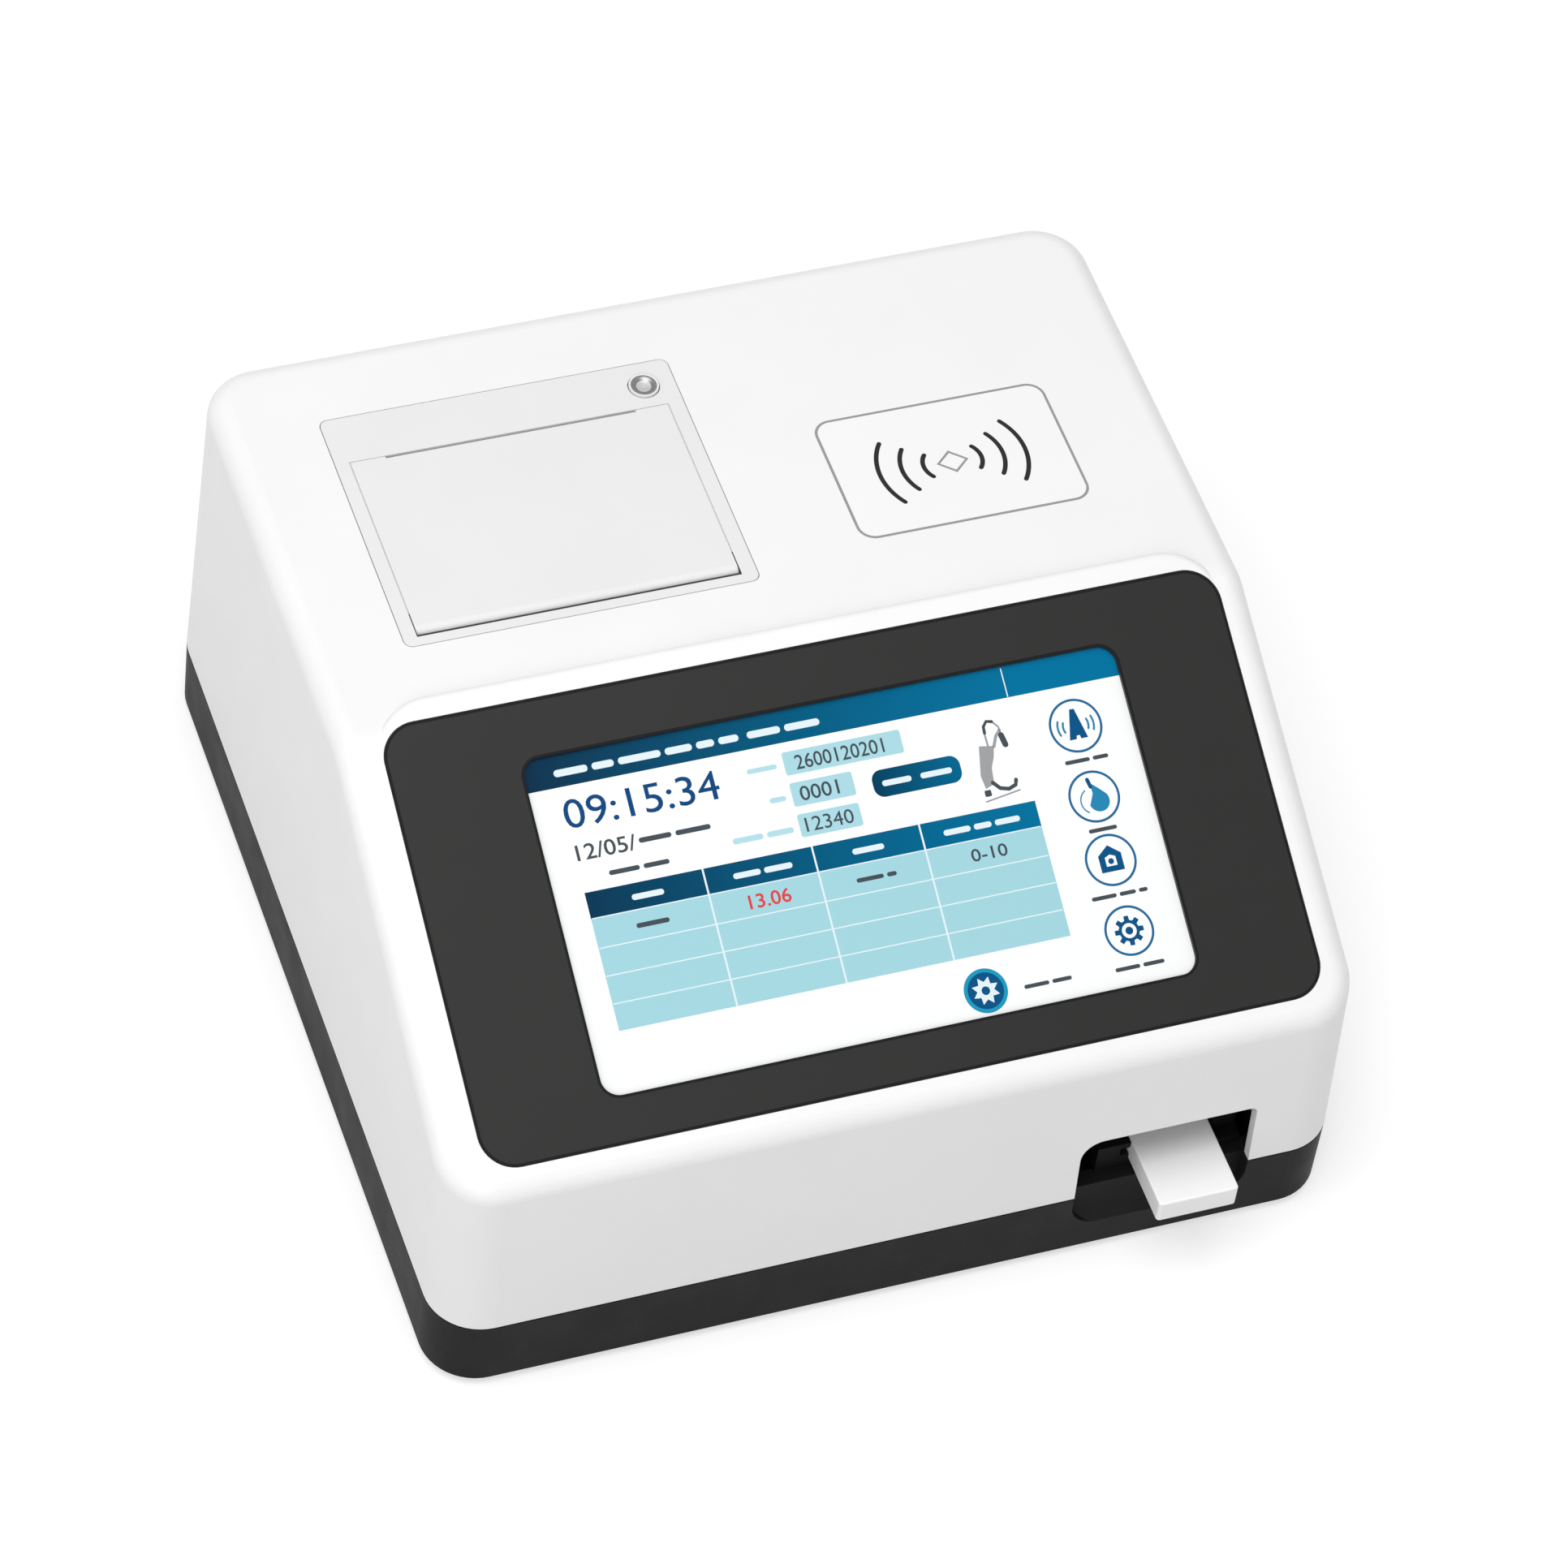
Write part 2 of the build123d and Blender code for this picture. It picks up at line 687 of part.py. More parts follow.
with BuildPart() as upper_housing:
    add(leaning_form(0, seam_z))
    high_edges = upper_housing.edges().filter_by(
        lambda edge: edge.bounding_box().min.Z > seam_z + front_wall_height / 2
    )
    break_edges = high_edges.filter_by(Axis.X).filter_by_position(Axis.Y, slope_y + wall, rear_y - 2 * wall)
    fillet(high_edges - break_edges, edge_round)
    add(crest.part)
    add(leaning_form(wall, seam_z - wall), mode=Mode.SUBTRACT)
    add(post_cores.part)
    for place in corner_posts:
        upright(place, seam_z, seam_z + screw_grip + wall, screw_radius + thread_gap, mode=Mode.SUBTRACT)
    with BuildSketch(slope_plane.offset(-wall)):
        with Locations(*screen_bosses):
            Circle(screen_boss_radius)
    extrude(amount=-(module_low - wall))
    with BuildSketch(slope_plane.offset(-module_low)):
        with Locations(*screen_bosses):
            Circle(small_screw_radius + thread_gap)
    extrude(amount=small_grip, mode=Mode.SUBTRACT)
    with BuildSketch(slope_plane):
        with Locations(surround_place):
            RectangleRounded(
                surround_width + 2 * surround_gap,
                surround_length + 2 * surround_gap,
                surround_corner + surround_gap,
            )
    extrude(amount=-surround_thick, mode=Mode.SUBTRACT)
    with BuildSketch(slope_plane):
        with Locations(window_place):
            RectangleRounded(module_width + 2 * module_gap, module_length + 2 * module_gap, module_corner)
    extrude(amount=-module_low, mode=Mode.SUBTRACT)
    with BuildSketch(Plane.XY.offset(deck_z)):
        with Locations((printer_x, printer_y)):
            RectangleRounded(
                printer_width + 2 * printer_gap,
                printer_length + 2 * printer_gap,
                printer_corner + printer_gap,
            )
    extrude(amount=-2 * wall, mode=Mode.SUBTRACT)
    for place in printer_bosses:
        upright(place, printer_boss_low, deck_under_z, screen_boss_radius)
        upright(place, printer_boss_low, deck_under_z, small_screw_radius + thread_gap, mode=Mode.SUBTRACT)
    with BuildSketch(Plane.XY.offset(deck_z)):
        with Locations((reader_x, reader_y)):
            RectangleRounded(
                reader_width + 2 * bore_gap, reader_length + 2 * bore_gap, reader_corner + bore_gap
            )
    extrude(amount=-reader_film, mode=Mode.SUBTRACT)
    for place in antenna_posts:
        upright(place, antenna_top, deck_under_z, antenna_post_radius)
        screw_top = deck_under_z + wall / 4
        upright(place, antenna_top, screw_top, small_screw_radius + thread_gap, mode=Mode.SUBTRACT)
    with BuildSketch(Plane.XZ.offset(-front_y - 3 * wall)) as port_view:
        with Locations(((port_left + port_right) / 2, seam_z + (port_height - wall) / 2)):
            Rectangle(port_right - port_left, port_height + wall)
        fillet(port_view.vertices().group_by(Axis.Y)[-1].sort_by(Axis.X)[0], port_round)
        fillet(port_view.vertices().group_by(Axis.Y)[-1].sort_by(Axis.X)[-1], port_round_small)
    extrude(amount=4 * wall, mode=Mode.SUBTRACT)
    socket_top = board_top + network_size[2] + socket_gap
    box_between(
        (network_x - network_size[0] / 2 - socket_gap, rear_y - 2 * wall, seam_z - wall),
        (network_x + network_size[0] / 2 + socket_gap, rear_y + wall, socket_top),
        mode=Mode.SUBTRACT,
    )
    with BuildSketch(Plane.XZ.offset(-rear_y - wall)):
        with Locations((vent_x, vent_z)):
            with GridLocations(vent_pitch, vent_height, vent_count, 1):
                SlotOverall(vent_height, vent_width, rotation=90)
    extrude(amount=4 * wall, mode=Mode.SUBTRACT)
    box_between(
        (switch_x - recess_width / 2 - wall, recess_y - wall, switch_z - recess_height / 2 - wall),
        (switch_x + recess_width / 2 + wall, rear_y - wall, switch_z + recess_height / 2 + wall),
    )
    box_between(
        (switch_x - recess_width / 2, recess_y, switch_z - recess_height / 2),
        (switch_x + recess_width / 2, rear_y + wall, switch_z + recess_height / 2),
        mode=Mode.SUBTRACT,
    )
    box_between(
        (
            switch_x - switch_width / 2 - screw_clearance,
            recess_y - 2 * wall,
            switch_z - switch_height / 2 - screw_clearance,
        ),
        (
            switch_x + switch_width / 2 + screw_clearance,
            recess_y + wall,
            switch_z + switch_height / 2 + screw_clearance,
        ),
        mode=Mode.SUBTRACT,
    )
upper_housing.part.label = "upper_housing"
export_step(upper_housing.part, "parts/upper_housing.step")

# Screen: surround in its recess, touch panel, display module, bracket and ribbon
with BuildPart() as screen_surround:
    with BuildSketch(slope_plane):
        with Locations(surround_place):
            RectangleRounded(surround_width, surround_length, surround_corner)
        with Locations(window_place):
            RectangleRounded(window_width, window_length, window_corner, mode=Mode.SUBTRACT)
    extrude(amount=-surround_thick)
screen_surround.part.label = "screen_surround"
export_step(screen_surround.part, "parts/screen_surround.step")

with BuildPart() as touch_panel:
    with BuildSketch(slope_plane.offset(-surround_thick)):
        with Locations(window_place):
            RectangleRounded(window_width + 2 * touch_border, window_length + 2 * touch_border, window_corner)
    extrude(amount=-touch_thick)
touch_panel.part.label = "touch_panel"
export_step(touch_panel.part, "parts/touch_panel.step")

with BuildPart() as lcd_module:
    with BuildSketch(slope_plane.offset(-touch_low)):
        with Locations(window_place):
            RectangleRounded(module_width, module_length, module_corner)
    extrude(amount=-module_thick)
lcd_module.part.label = "lcd_module"
export_step(lcd_module.part, "parts/lcd_module.step")

bracket_low = module_low + bracket_thick
with BuildPart() as lcd_bracket:
    with BuildSketch(slope_plane.offset(-module_low)):
        with Locations(window_place):
            RectangleRounded(module_width + 2 * bracket_border, module_length, module_corner)
            RectangleRounded(
                module_width - 2 * bracket_rim,
                module_length - 2 * bracket_rim,
                module_corner,
                mode=Mode.SUBTRACT,
            )
        with Locations(*screen_bosses):
            Circle(small_screw_hole, mode=Mode.SUBTRACT)
    extrude(amount=-bracket_thick)
lcd_bracket.part.label = "lcd_bracket"
export_step(lcd_bracket.part, "parts/lcd_bracket.step")

with BuildPart() as lcd_screws:
    with BuildSketch(slope_plane.offset(-bracket_low)):
        with Locations(*screen_bosses):
            Circle(small_head_radius)
    extrude(amount=-small_head_height)
    with BuildSketch(slope_plane.offset(-bracket_low)):
        with Locations(*screen_bosses):
            Circle(small_screw_radius)
    extrude(amount=bracket_thick + small_grip - thread_gap)
    with BuildSketch(slope_plane.offset(-bracket_low - small_head_height)):
        with Locations(*screen_bosses):
            Circle(small_head_radius / 2)
    extrude(amount=small_head_height / 2, mode=Mode.SUBTRACT)
lcd_screws.part.label = "lcd_screws"
export_step(lcd_screws.part, "parts/lcd_screws.step")

header_top = board_top + header_height
display_header_y = front_y + board_front + display_header_inset
with BuildPart() as display_ribbon:
    with BuildSketch(Plane.YZ.offset(display_ribbon_x - display_ribbon_width / 2)):
        with BuildLine():
            FilletPolyline(
                slope_point(display_ribbon_along, module_low),
                slope_point(display_ribbon_along, 2 * module_low),
                (display_header_y, (header_top + deck_z) / 2),
                (display_header_y, header_top),
                radius=ribbon_bend,
            )
        trace(line_width=ribbon_thick)
    extrude(amount=display_ribbon_width)
display_ribbon.part.label = "display_ribbon"
export_step(display_ribbon.part, "parts/display_ribbon.step")

# Contactless reader: printed film in the deck and the antenna board below it
with BuildPart() as reader_overlay:
    with BuildSketch(Plane.XY.offset(deck_z - reader_film)):
        with Locations((reader_x, reader_y)):
            RectangleRounded(reader_width, reader_length, reader_corner)
    extrude(amount=reader_film)
reader_overlay.part.label = "reader_overlay"
export_step(reader_overlay.part, "parts/reader_overlay.step")

with BuildPart() as antenna_board:
    with BuildSketch(Plane.XY.offset(antenna_top)):
        with Locations((reader_x, reader_y)):
            RectangleRounded(antenna_width, antenna_length, module_corner)
        with Locations(*antenna_posts):
            Circle(small_screw_hole, mode=Mode.SUBTRACT)
    extrude(amount=-antenna_thick)
antenna_board.part.label = "antenna_board"
export_step(antenna_board.part, "parts/antenna_board.step")

with BuildPart() as antenna_screws:
    for place in antenna_posts:
        head_z = antenna_top - antenna_thick - small_head_height
        grip = antenna_thick + antenna_drop
        upward_screw(place, head_z, grip, *small_screw_form)
antenna_screws.part.label = "antenna_screws"
export_step(antenna_screws.part, "parts/antenna_screws.step")

# Card drawer with its runners, pocket, rack and sensor flag, and the leaf that holds a card
nose_y = front_y - drawer_out
drawer_left = drawer_x - drawer_width / 2
drawer_right = drawer_x + drawer_width / 2
drawer_rear = nose_y + drawer_length
runner_low = drawer_low + (drawer_height - runner_height) / 2
pocket_low = drawer_top - pocket_depth
pocket_left = drawer_x - pocket_width / 2
pocket_near = nose_y + pocket_start
rack_root = drawer_low - rack_back
rack_tip = rack_root - 2.25 * gear_module
rack_pitch_z = rack_tip + gear_module
rack_step = pi * gear_module
rack_half = (rack_step - gear_backlash) / 4
rack_slant = tan(radians(pressure_angle))
tip_half = rack_half - gear_module * rack_slant
root_half = rack_half + 1.25 * gear_module * rack_slant
pinion_radius = pinion_teeth * gear_module / 2
pinion_z = rack_pitch_z - pinion_radius - gear_centre_extra
first_tooth = int((pinion_y - nose_y - rack_start) / rack_step)
last_tooth = int((nose_y + rack_end - pinion_y) / rack_step)
rack_points = []
for tooth in range(-first_tooth, last_tooth):
    middle = pinion_y + (tooth + 0.5) * rack_step
    rack_points += [(middle - root_half, rack_root), (middle - tip_half, rack_tip)]
    rack_points += [(middle + tip_half, rack_tip), (middle + root_half, rack_root)]

with BuildPart() as card_drawer:
    box_between((drawer_left, nose_y, drawer_low), (drawer_right, drawer_rear, drawer_top))
    fillet(card_drawer.edges().filter_by(Axis.Z).group_by(Axis.Y)[0], 2 * drawer_edge)
    fillet(card_drawer.faces().sort_by(Axis.Z)[-1].edges(), drawer_edge)
    box_between(
        (drawer_left - runner_width, nose_y + runner_start, runner_low),
        (drawer_right + runner_width, drawer_rear, runner_low + runner_height),
    )
    box_between(
        (pocket_left, pocket_near, pocket_low),
        (pocket_left + pocket_width, pocket_near + pocket_length, drawer_top + drawer_height),
        mode=Mode.SUBTRACT,
    )
    with BuildSketch(Plane.YZ.offset(drawer_x - rack_width / 2)):
        with BuildLine():
            Polyline(
                (rack_points[0][0], drawer_low + drawer_edge),
                *rack_points,
                (rack_points[-1][0], drawer_low + drawer_edge),
                close=True,
            )
        make_face()
    extrude(amount=rack_width)
    box_between(
        (drawer_x + flag_shift - flag_thick / 2, drawer_rear - flag_length, drawer_top - drawer_edge),
        (drawer_x + flag_shift + flag_thick / 2, drawer_rear - drawer_edge, drawer_top + flag_height),
    )
card_drawer.part.label = "card_drawer"
export_step(card_drawer.part, "parts/card_drawer.step")

clip_y = pocket_near + pocket_length * 3 / 4
with BuildPart() as card_clip:
    with BuildSketch(Plane.XY.offset(pocket_low + clip_thick)):
        with BuildLine():
            outer = ThreePointArc(
                (pocket_left, clip_y - clip_length / 2),
                (pocket_left + clip_bow, clip_y),
                (pocket_left, clip_y + clip_length / 2),
            )
            inner = ThreePointArc(
                (pocket_left, clip_y - clip_length / 2 + 3 * clip_thick),
                (pocket_left + clip_bow - clip_thick, clip_y),
                (pocket_left, clip_y + clip_length / 2 - 3 * clip_thick),
            )
            Line(outer @ 0, inner @ 0)
            Line(outer @ 1, inner @ 1)
        make_face()
    extrude(amount=pocket_depth - 2 * clip_thick)
card_clip.part.label = "card_clip"
export_step(card_clip.part, "parts/card_clip.step")

# Drawer guide with runner grooves, rack slot and shaft bearings
guide_top = guide_under + guide_height
guide_near = front_y + guide_front
guide_rear = guide_near + guide_length
cheek_left = drawer_left - drawer_gap
cheek_right = drawer_right + drawer_gap
ear_top = guide_under + guide_floor
slot_half = rack_width / 2 + rack_side_gap
lug_places = [drawer_x - slot_half - lug_thick, drawer_x + slot_half]
shaft_bore = pinion_shaft_radius + shaft_clearance

with BuildPart() as drawer_guide:
    box_between((guide_left, guide_near, guide_under), (cheek_left, guide_rear, drawer_top))
    for left, right in ((guide_left, cheek_left), (cheek_right, guide_right)):
        box_between((left, front_y + cheek_front, guide_under), (right, guide_rear, guide_top))
    fillet(drawer_guide.edges().filter_by(Axis.X).group_by(Axis.Z)[-1].group_by(Axis.Y)[0], cheek_round)
    box_between((guide_left, guide_near, guide_under), (guide_right, guide_rear, ear_top))
    box_between((cheek_left, guide_rear - guide_end, guide_under), (cheek_right, guide_rear, drawer_top))
    for x, reach in ((guide_left - guide_ear, guide_left), (guide_right, guide_right + guide_ear)):
        for y in (front_ear, rear_ear):
            box_between(
                (x, front_y + y - ear_length / 2, guide_under), (reach, front_y + y + ear_length / 2, ear_top)
            )
    for x in lug_places:
        box_between(
            (x, pinion_y - lug_half, pinion_z - lug_half), (x + lug_thick, pinion_y + lug_half, ear_top)
        )
    box_between(
        (drawer_x - slot_half, guide_near - wall, guide_under - wall),
        (drawer_x + slot_half, guide_rear - 2 * guide_end, ear_top + wall),
        mode=Mode.SUBTRACT,
    )
    box_between(
        (
            drawer_left - runner_width - runner_gap,
            guide_near - wall,
            runner_low - runner_gap,
        ),
        (
            drawer_right + runner_width + runner_gap,
            guide_rear - guide_end,
            runner_low + runner_height + runner_gap,
        ),
        mode=Mode.SUBTRACT,
    )
    for place in guide_bosses:
        upright(place, guide_under - wall, guide_top, screw_radius + screw_clearance, mode=Mode.SUBTRACT)
    lengthwise(guide_left, guide_right, pinion_y, pinion_z, shaft_bore, mode=Mode.SUBTRACT)
drawer_guide.part.label = "drawer_guide"
export_step(drawer_guide.part, "parts/drawer_guide.step")

with BuildPart() as drive_pinion:
    with BuildSketch(side_plane(drawer_x - rack_width / 2, pinion_y, pinion_z)):
        with BuildLine():
            Polyline(*gear_points(pinion_teeth, gear_module, gear_backlash / 2, pi / 2), close=True)
        make_face()
        Circle(pinion_shaft_radius, mode=Mode.SUBTRACT)
    extrude(amount=rack_width)
drive_pinion.part.label = "drive_pinion"
export_step(drive_pinion.part, "parts/drive_pinion.step")

motor_left = motor_right - drawer_motor_length
shaft_end = drawer_x + slot_half + lug_thick + thread_gap
with BuildPart() as pinion_shaft:
    lengthwise(motor_left + drawer_motor_length / 3, shaft_end, pinion_y, pinion_z, pinion_shaft_radius)
pinion_shaft.part.label = "pinion_shaft"
export_step(pinion_shaft.part, "parts/pinion_shaft.step")

with BuildPart() as drawer_motor:
    lengthwise(motor_left, motor_right, pinion_y, pinion_z, drawer_motor_radius)
    fillet(drawer_motor.edges().group_by(Axis.X)[0], 2 * drawer_edge)
    lengthwise(motor_right, motor_right + bracket_sheet, pinion_y, pinion_z, motor_nose_radius)
    lengthwise(
        motor_left + drawer_motor_length / 3,
        motor_right + bracket_sheet,
        pinion_y,
        pinion_z,
        shaft_bore,
        mode=Mode.SUBTRACT,
    )
drawer_motor.part.label = "drawer_motor"
export_step(drawer_motor.part, "parts/drawer_motor.step")

with BuildPart() as motor_bracket:
    box_between(
        (motor_right, pinion_y - motor_bracket_width / 2, boss_top),
        (motor_right + bracket_sheet, pinion_y + motor_bracket_width / 2, boss_top + motor_bracket_height),
    )
    box_between(
        (motor_right, pinion_y - motor_bracket_width / 2, boss_top),
        (
            motor_right + bracket_sheet + motor_bracket_foot,
            pinion_y + motor_bracket_width / 2,
            boss_top + bracket_sheet,
        ),
    )
    lengthwise(
        motor_right,
        motor_right + bracket_sheet,
        pinion_y,
        pinion_z,
        motor_nose_radius + thread_gap,
        mode=Mode.SUBTRACT,
    )
    for place in motor_bosses:
        upright(place, boss_top, boss_top + bracket_sheet, small_screw_hole, mode=Mode.SUBTRACT)
motor_bracket.part.label = "motor_bracket"
export_step(motor_bracket.part, "parts/motor_bracket.step")

# Fork sensor that sees the flag of the drawer
flag_x = drawer_x + flag_shift
sensor_y = drawer_rear - flag_length / 2
with BuildPart() as position_sensor:
    box_between(
        (flag_x - sensor_slot / 2 - sensor_leg, sensor_y - sensor_length / 2, drawer_top + sensor_leg / 2),
        (flag_x + sensor_slot / 2 + sensor_leg, sensor_y + sensor_length / 2, guide_top + sensor_height),
    )
    box_between(
        (flag_x, sensor_y - sensor_length / 2, guide_top),
        (guide_right, sensor_y + sensor_length / 2, guide_top + sensor_height),
    )
    box_between(
        (flag_x - sensor_slot / 2, sensor_y - sensor_length, drawer_top),
        (flag_x + sensor_slot / 2, sensor_y + sensor_length, guide_top + sensor_slot / 2),
        mode=Mode.SUBTRACT,
    )
    box_between(
        (cheek_right - drawer_gap, sensor_y - sensor_length, drawer_top),
        (guide_right + wall, sensor_y + sensor_length, guide_top),
        mode=Mode.SUBTRACT,
    )
position_sensor.part.label = "position_sensor"
export_step(position_sensor.part, "parts/position_sensor.step")

# Optics bridge over the drawer and the optical parts on it
optics_x = drawer_x
optics_near = front_y + optics_front
optics_y = optics_near + optics_length / 2
plate_low = drawer_top + bridge_gap
plate_top = plate_low + bridge_sheet
optics_top = plate_top + optics_height
side_bore_z = plate_top + optics_height / 2

with BuildPart() as optics_bridge:
    with BuildSketch(Plane.XZ.offset(-front_y - bridge_front - bridge_length)):
        with BuildLine():
            FilletPolyline(
                (bridge_left - bridge_foot, boss_top + bridge_sheet / 2),
                (bridge_left + bridge_sheet / 2, boss_top + bridge_sheet / 2),
                (bridge_left + bridge_sheet / 2, plate_low + bridge_sheet / 2),
                (bridge_right - bridge_sheet / 2, plate_low + bridge_sheet / 2),
                (bridge_right - bridge_sheet / 2, boss_top + bridge_sheet / 2),
                (bridge_right + bridge_foot, boss_top + bridge_sheet / 2),
                radius=1.5 * bridge_sheet,
            )
        trace(line_width=bridge_sheet)
    extrude(amount=bridge_length)
    upright((optics_x, optics_y), plate_low, plate_top, main_bore, mode=Mode.SUBTRACT)
    for place in bridge_bosses:
        upright(place, boss_top, boss_top + bridge_sheet, small_screw_hole, mode=Mode.SUBTRACT)
optics_bridge.part.label = "optics_bridge"
export_step(optics_bridge.part, "parts/optics_bridge.step")

with BuildPart() as mechanism_screws:
    for place in guide_bosses:
        downward_screw(place, ear_top, screw_grip, *screw_form)
    for place in motor_bosses:
        downward_screw(place, boss_top + bracket_sheet, small_grip, *small_screw_form)
    for place in bridge_bosses:
        downward_screw(place, boss_top + bridge_sheet, small_grip, *small_screw_form)
mechanism_screws.part.label = "mechanism_screws"
export_step(mechanism_screws.part, "parts/mechanism_screws.step")

mirror_size = 2.2 * main_bore
mirror_plane = side_plane(optics_x, optics_y, side_bore_z, 45)
with BuildPart() as optical_housing:
    box_between(
        (optics_x - optics_width / 2, optics_near, plate_top),
        (optics_x + optics_width / 2, optics_near + optics_length, optics_top),
    )
    fillet(optical_housing.edges().filter_by(Axis.Z), module_corner)
    upright((optics_x, optics_y), plate_top, optics_top, main_bore, mode=Mode.SUBTRACT)
    with BuildSketch(Plane.XZ.offset(-optics_y)):
        with Locations((optics_x, side_bore_z)):
            Circle(side_bore)
    extrude(amount=optics_length / 2, mode=Mode.SUBTRACT)
    with BuildSketch(mirror_plane.offset(-mirror_size / 2)):
        Rectangle(mirror_size + 2 * bore_gap, mirror_thick + 2 * bore_gap)
    extrude(amount=optics_width, mode=Mode.SUBTRACT)
optical_housing.part.label = "optical_housing"
export_step(optical_housing.part, "parts/optical_housing.step")

with BuildPart() as dichroic_mirror:
    with BuildSketch(mirror_plane.offset(-mirror_size / 2)):
        Rectangle(mirror_size, mirror_thick)
    extrude(amount=mirror_size)
dichroic_mirror.part.label = "dichroic_mirror"
export_step(dichroic_mirror.part, "parts/dichroic_mirror.step")

with BuildPart() as objective_lens:
    upright((optics_x, optics_y), plate_top, plate_top + lens_thick, main_bore - bore_gap)
    fillet(objective_lens.edges().group_by(Axis.Z)[-1], lens_thick / 2 - bore_gap)
objective_lens.part.label = "objective_lens"
export_step(objective_lens.part, "parts/objective_lens.step")

with BuildPart() as emission_filter:
    filter_low = optics_top - filter_thick - detector_reach
    upright((optics_x, optics_y), filter_low, filter_low + filter_thick, main_bore - bore_gap)
emission_filter.part.label = "emission_filter"
export_step(emission_filter.part, "parts/emission_filter.step")

with BuildPart() as detector_board:
    box_between(
        (optics_x - optics_width / 3, optics_y - optics_length / 3, optics_top),
        (optics_x + optics_width / 3, optics_y + optics_length / 3, optics_top + light_board_thick),
    )
    box_between(
        (optics_x - detector_size / 2, optics_y - detector_size / 2, optics_top - detector_reach + bore_gap),
        (optics_x + detector_size / 2, optics_y + detector_size / 2, optics_top),
    )
    box_between(
        (optics_x - detector_size, optics_y + detector_size, optics_top + light_board_thick),
        (optics_x + detector_size, optics_y + 2 * detector_size, optics_top + 2 * light_board_thick),
    )
detector_board.part.label = "detector_board"
export_step(detector_board.part, "parts/detector_board.step")

with BuildPart() as excitation_filter:
    with BuildSketch(Plane.XZ.offset(-optics_near - 2 * filter_thick - light_dome)):
        with Locations((optics_x, side_bore_z)):
            Circle(side_bore - bore_gap)
    extrude(amount=filter_thick)
excitation_filter.part.label = "excitation_filter"
export_step(excitation_filter.part, "parts/excitation_filter.step")

light_front = optics_near - light_board_thick
with BuildPart() as excitation_light:
    box_between(
        (optics_x - light_board / 2, light_front, side_bore_z - light_board / 2),
        (optics_x + light_board / 2, optics_near, side_bore_z + light_board / 2),
    )
    with Locations((optics_x, optics_near, side_bore_z)):
        Sphere(light_dome)
    box_between(
        (optics_x - light_board / 2, light_front - light_dome, side_bore_z - light_board / 2),
        (optics_x + light_board / 2, light_front, side_bore_z + light_board / 2),
        mode=Mode.SUBTRACT,
    )
excitation_light.part.label = "excitation_light"
export_step(excitation_light.part, "parts/excitation_light.step")

with BuildPart() as light_heat_sink:
    box_between(
        (optics_x - sink_size / 2, light_front - sink_base, side_bore_z - sink_size / 2),
        (optics_x + sink_size / 2, light_front, side_bore_z + sink_size / 2),
    )
    for fin in range(fin_count):
        fin_x = optics_x - sink_size / 2 + fin * (sink_size - fin_thick) / (fin_count - 1)
        box_between(
            (fin_x, light_front - sink_depth, side_bore_z - sink_size / 2),
            (fin_x + fin_thick, light_front - sink_base, side_bore_z + sink_size / 2),
        )
light_heat_sink.part.label = "light_heat_sink"
export_step(light_heat_sink.part, "parts/light_heat_sink.step")

# Main board, the parts on it and the rear sockets
board_near = front_y + board_front
board_length = board_rear - board_near
printer_header_y = printer_far - ribbon_from_rear
printer_ribbon_x = printer_x
with BuildPart() as main_board:
    box_between((board_left, board_near, board_under), (board_right, board_rear, board_top))
    fillet(main_board.edges().filter_by(Axis.Z), module_corner)
    for place in board_bosses:
        upright(place, board_under, board_top, small_screw_hole, mode=Mode.SUBTRACT)
main_board.part.label = "main_board"
export_step(main_board.part, "parts/main_board.step")

with BuildPart() as board_screws:
    for place in board_bosses:
        grip = board_thick + board_lift - small_screw_radius
        downward_screw(place, board_top, grip, *small_screw_form)
board_screws.part.label = "board_screws"
export_step(board_screws.part, "parts/board_screws.step")

with BuildPart() as board_parts:
    for place, share, width, length, height in chips:
        with Locations((board_left + place, board_near + share * board_length, board_top)):
            Box(width, length, height, align=(Align.CENTER, Align.CENTER, Align.MIN))
    for place, share, radius, height in round_parts:
        centre = (board_left + place, board_near + share * board_length)
        upright(centre, board_top, board_top + height, radius)
    for x, y, width in (
        (display_ribbon_x, display_header_y, display_ribbon_width),
        (printer_ribbon_x, printer_header_y, printer_ribbon_width),
    ):
        with Locations((x, y, board_top)):
            Box(
                width + header_height,
                header_height,
                header_height,
                align=(Align.CENTER, Align.CENTER, Align.MIN),
            )
board_parts.part.label = "board_parts"
export_step(board_parts.part, "parts/board_parts.step")

with BuildPart() as processor:
    with Locations((board_left + processor_place, board_near + processor_share * board_length, board_top)):
        Box(
            processor_size,
            processor_size,
            processor_height / 2,
            align=(Align.CENTER, Align.CENTER, Align.MIN),
        )
        Box(
            processor_size * 2 / 3,
            processor_size * 2 / 3,
            processor_height,
            align=(Align.CENTER, Align.CENTER, Align.MIN),
        )
processor.part.label = "processor"
export_step(processor.part, "parts/processor.step")

socket_face = rear_y - socket_inset
with BuildPart() as dc_inlet:
    inlet_z = board_top + inlet_size[2] / 2
    box_between(
        (inlet_x - inlet_size[0] / 2, socket_face - inlet_size[1], board_top),
        (inlet_x + inlet_size[0] / 2, socket_face, board_top + inlet_size[2]),
    )
    with BuildSketch(Plane.XZ.offset(-socket_face)):
        with Locations((inlet_x, inlet_z)):
            Circle(inlet_bore)
            Circle(inlet_pin, mode=Mode.SUBTRACT)
    extrude(amount=inlet_size[1] - inlet_bore, mode=Mode.SUBTRACT)
dc_inlet.part.label = "dc_inlet"
export_step(dc_inlet.part, "parts/dc_inlet.step")

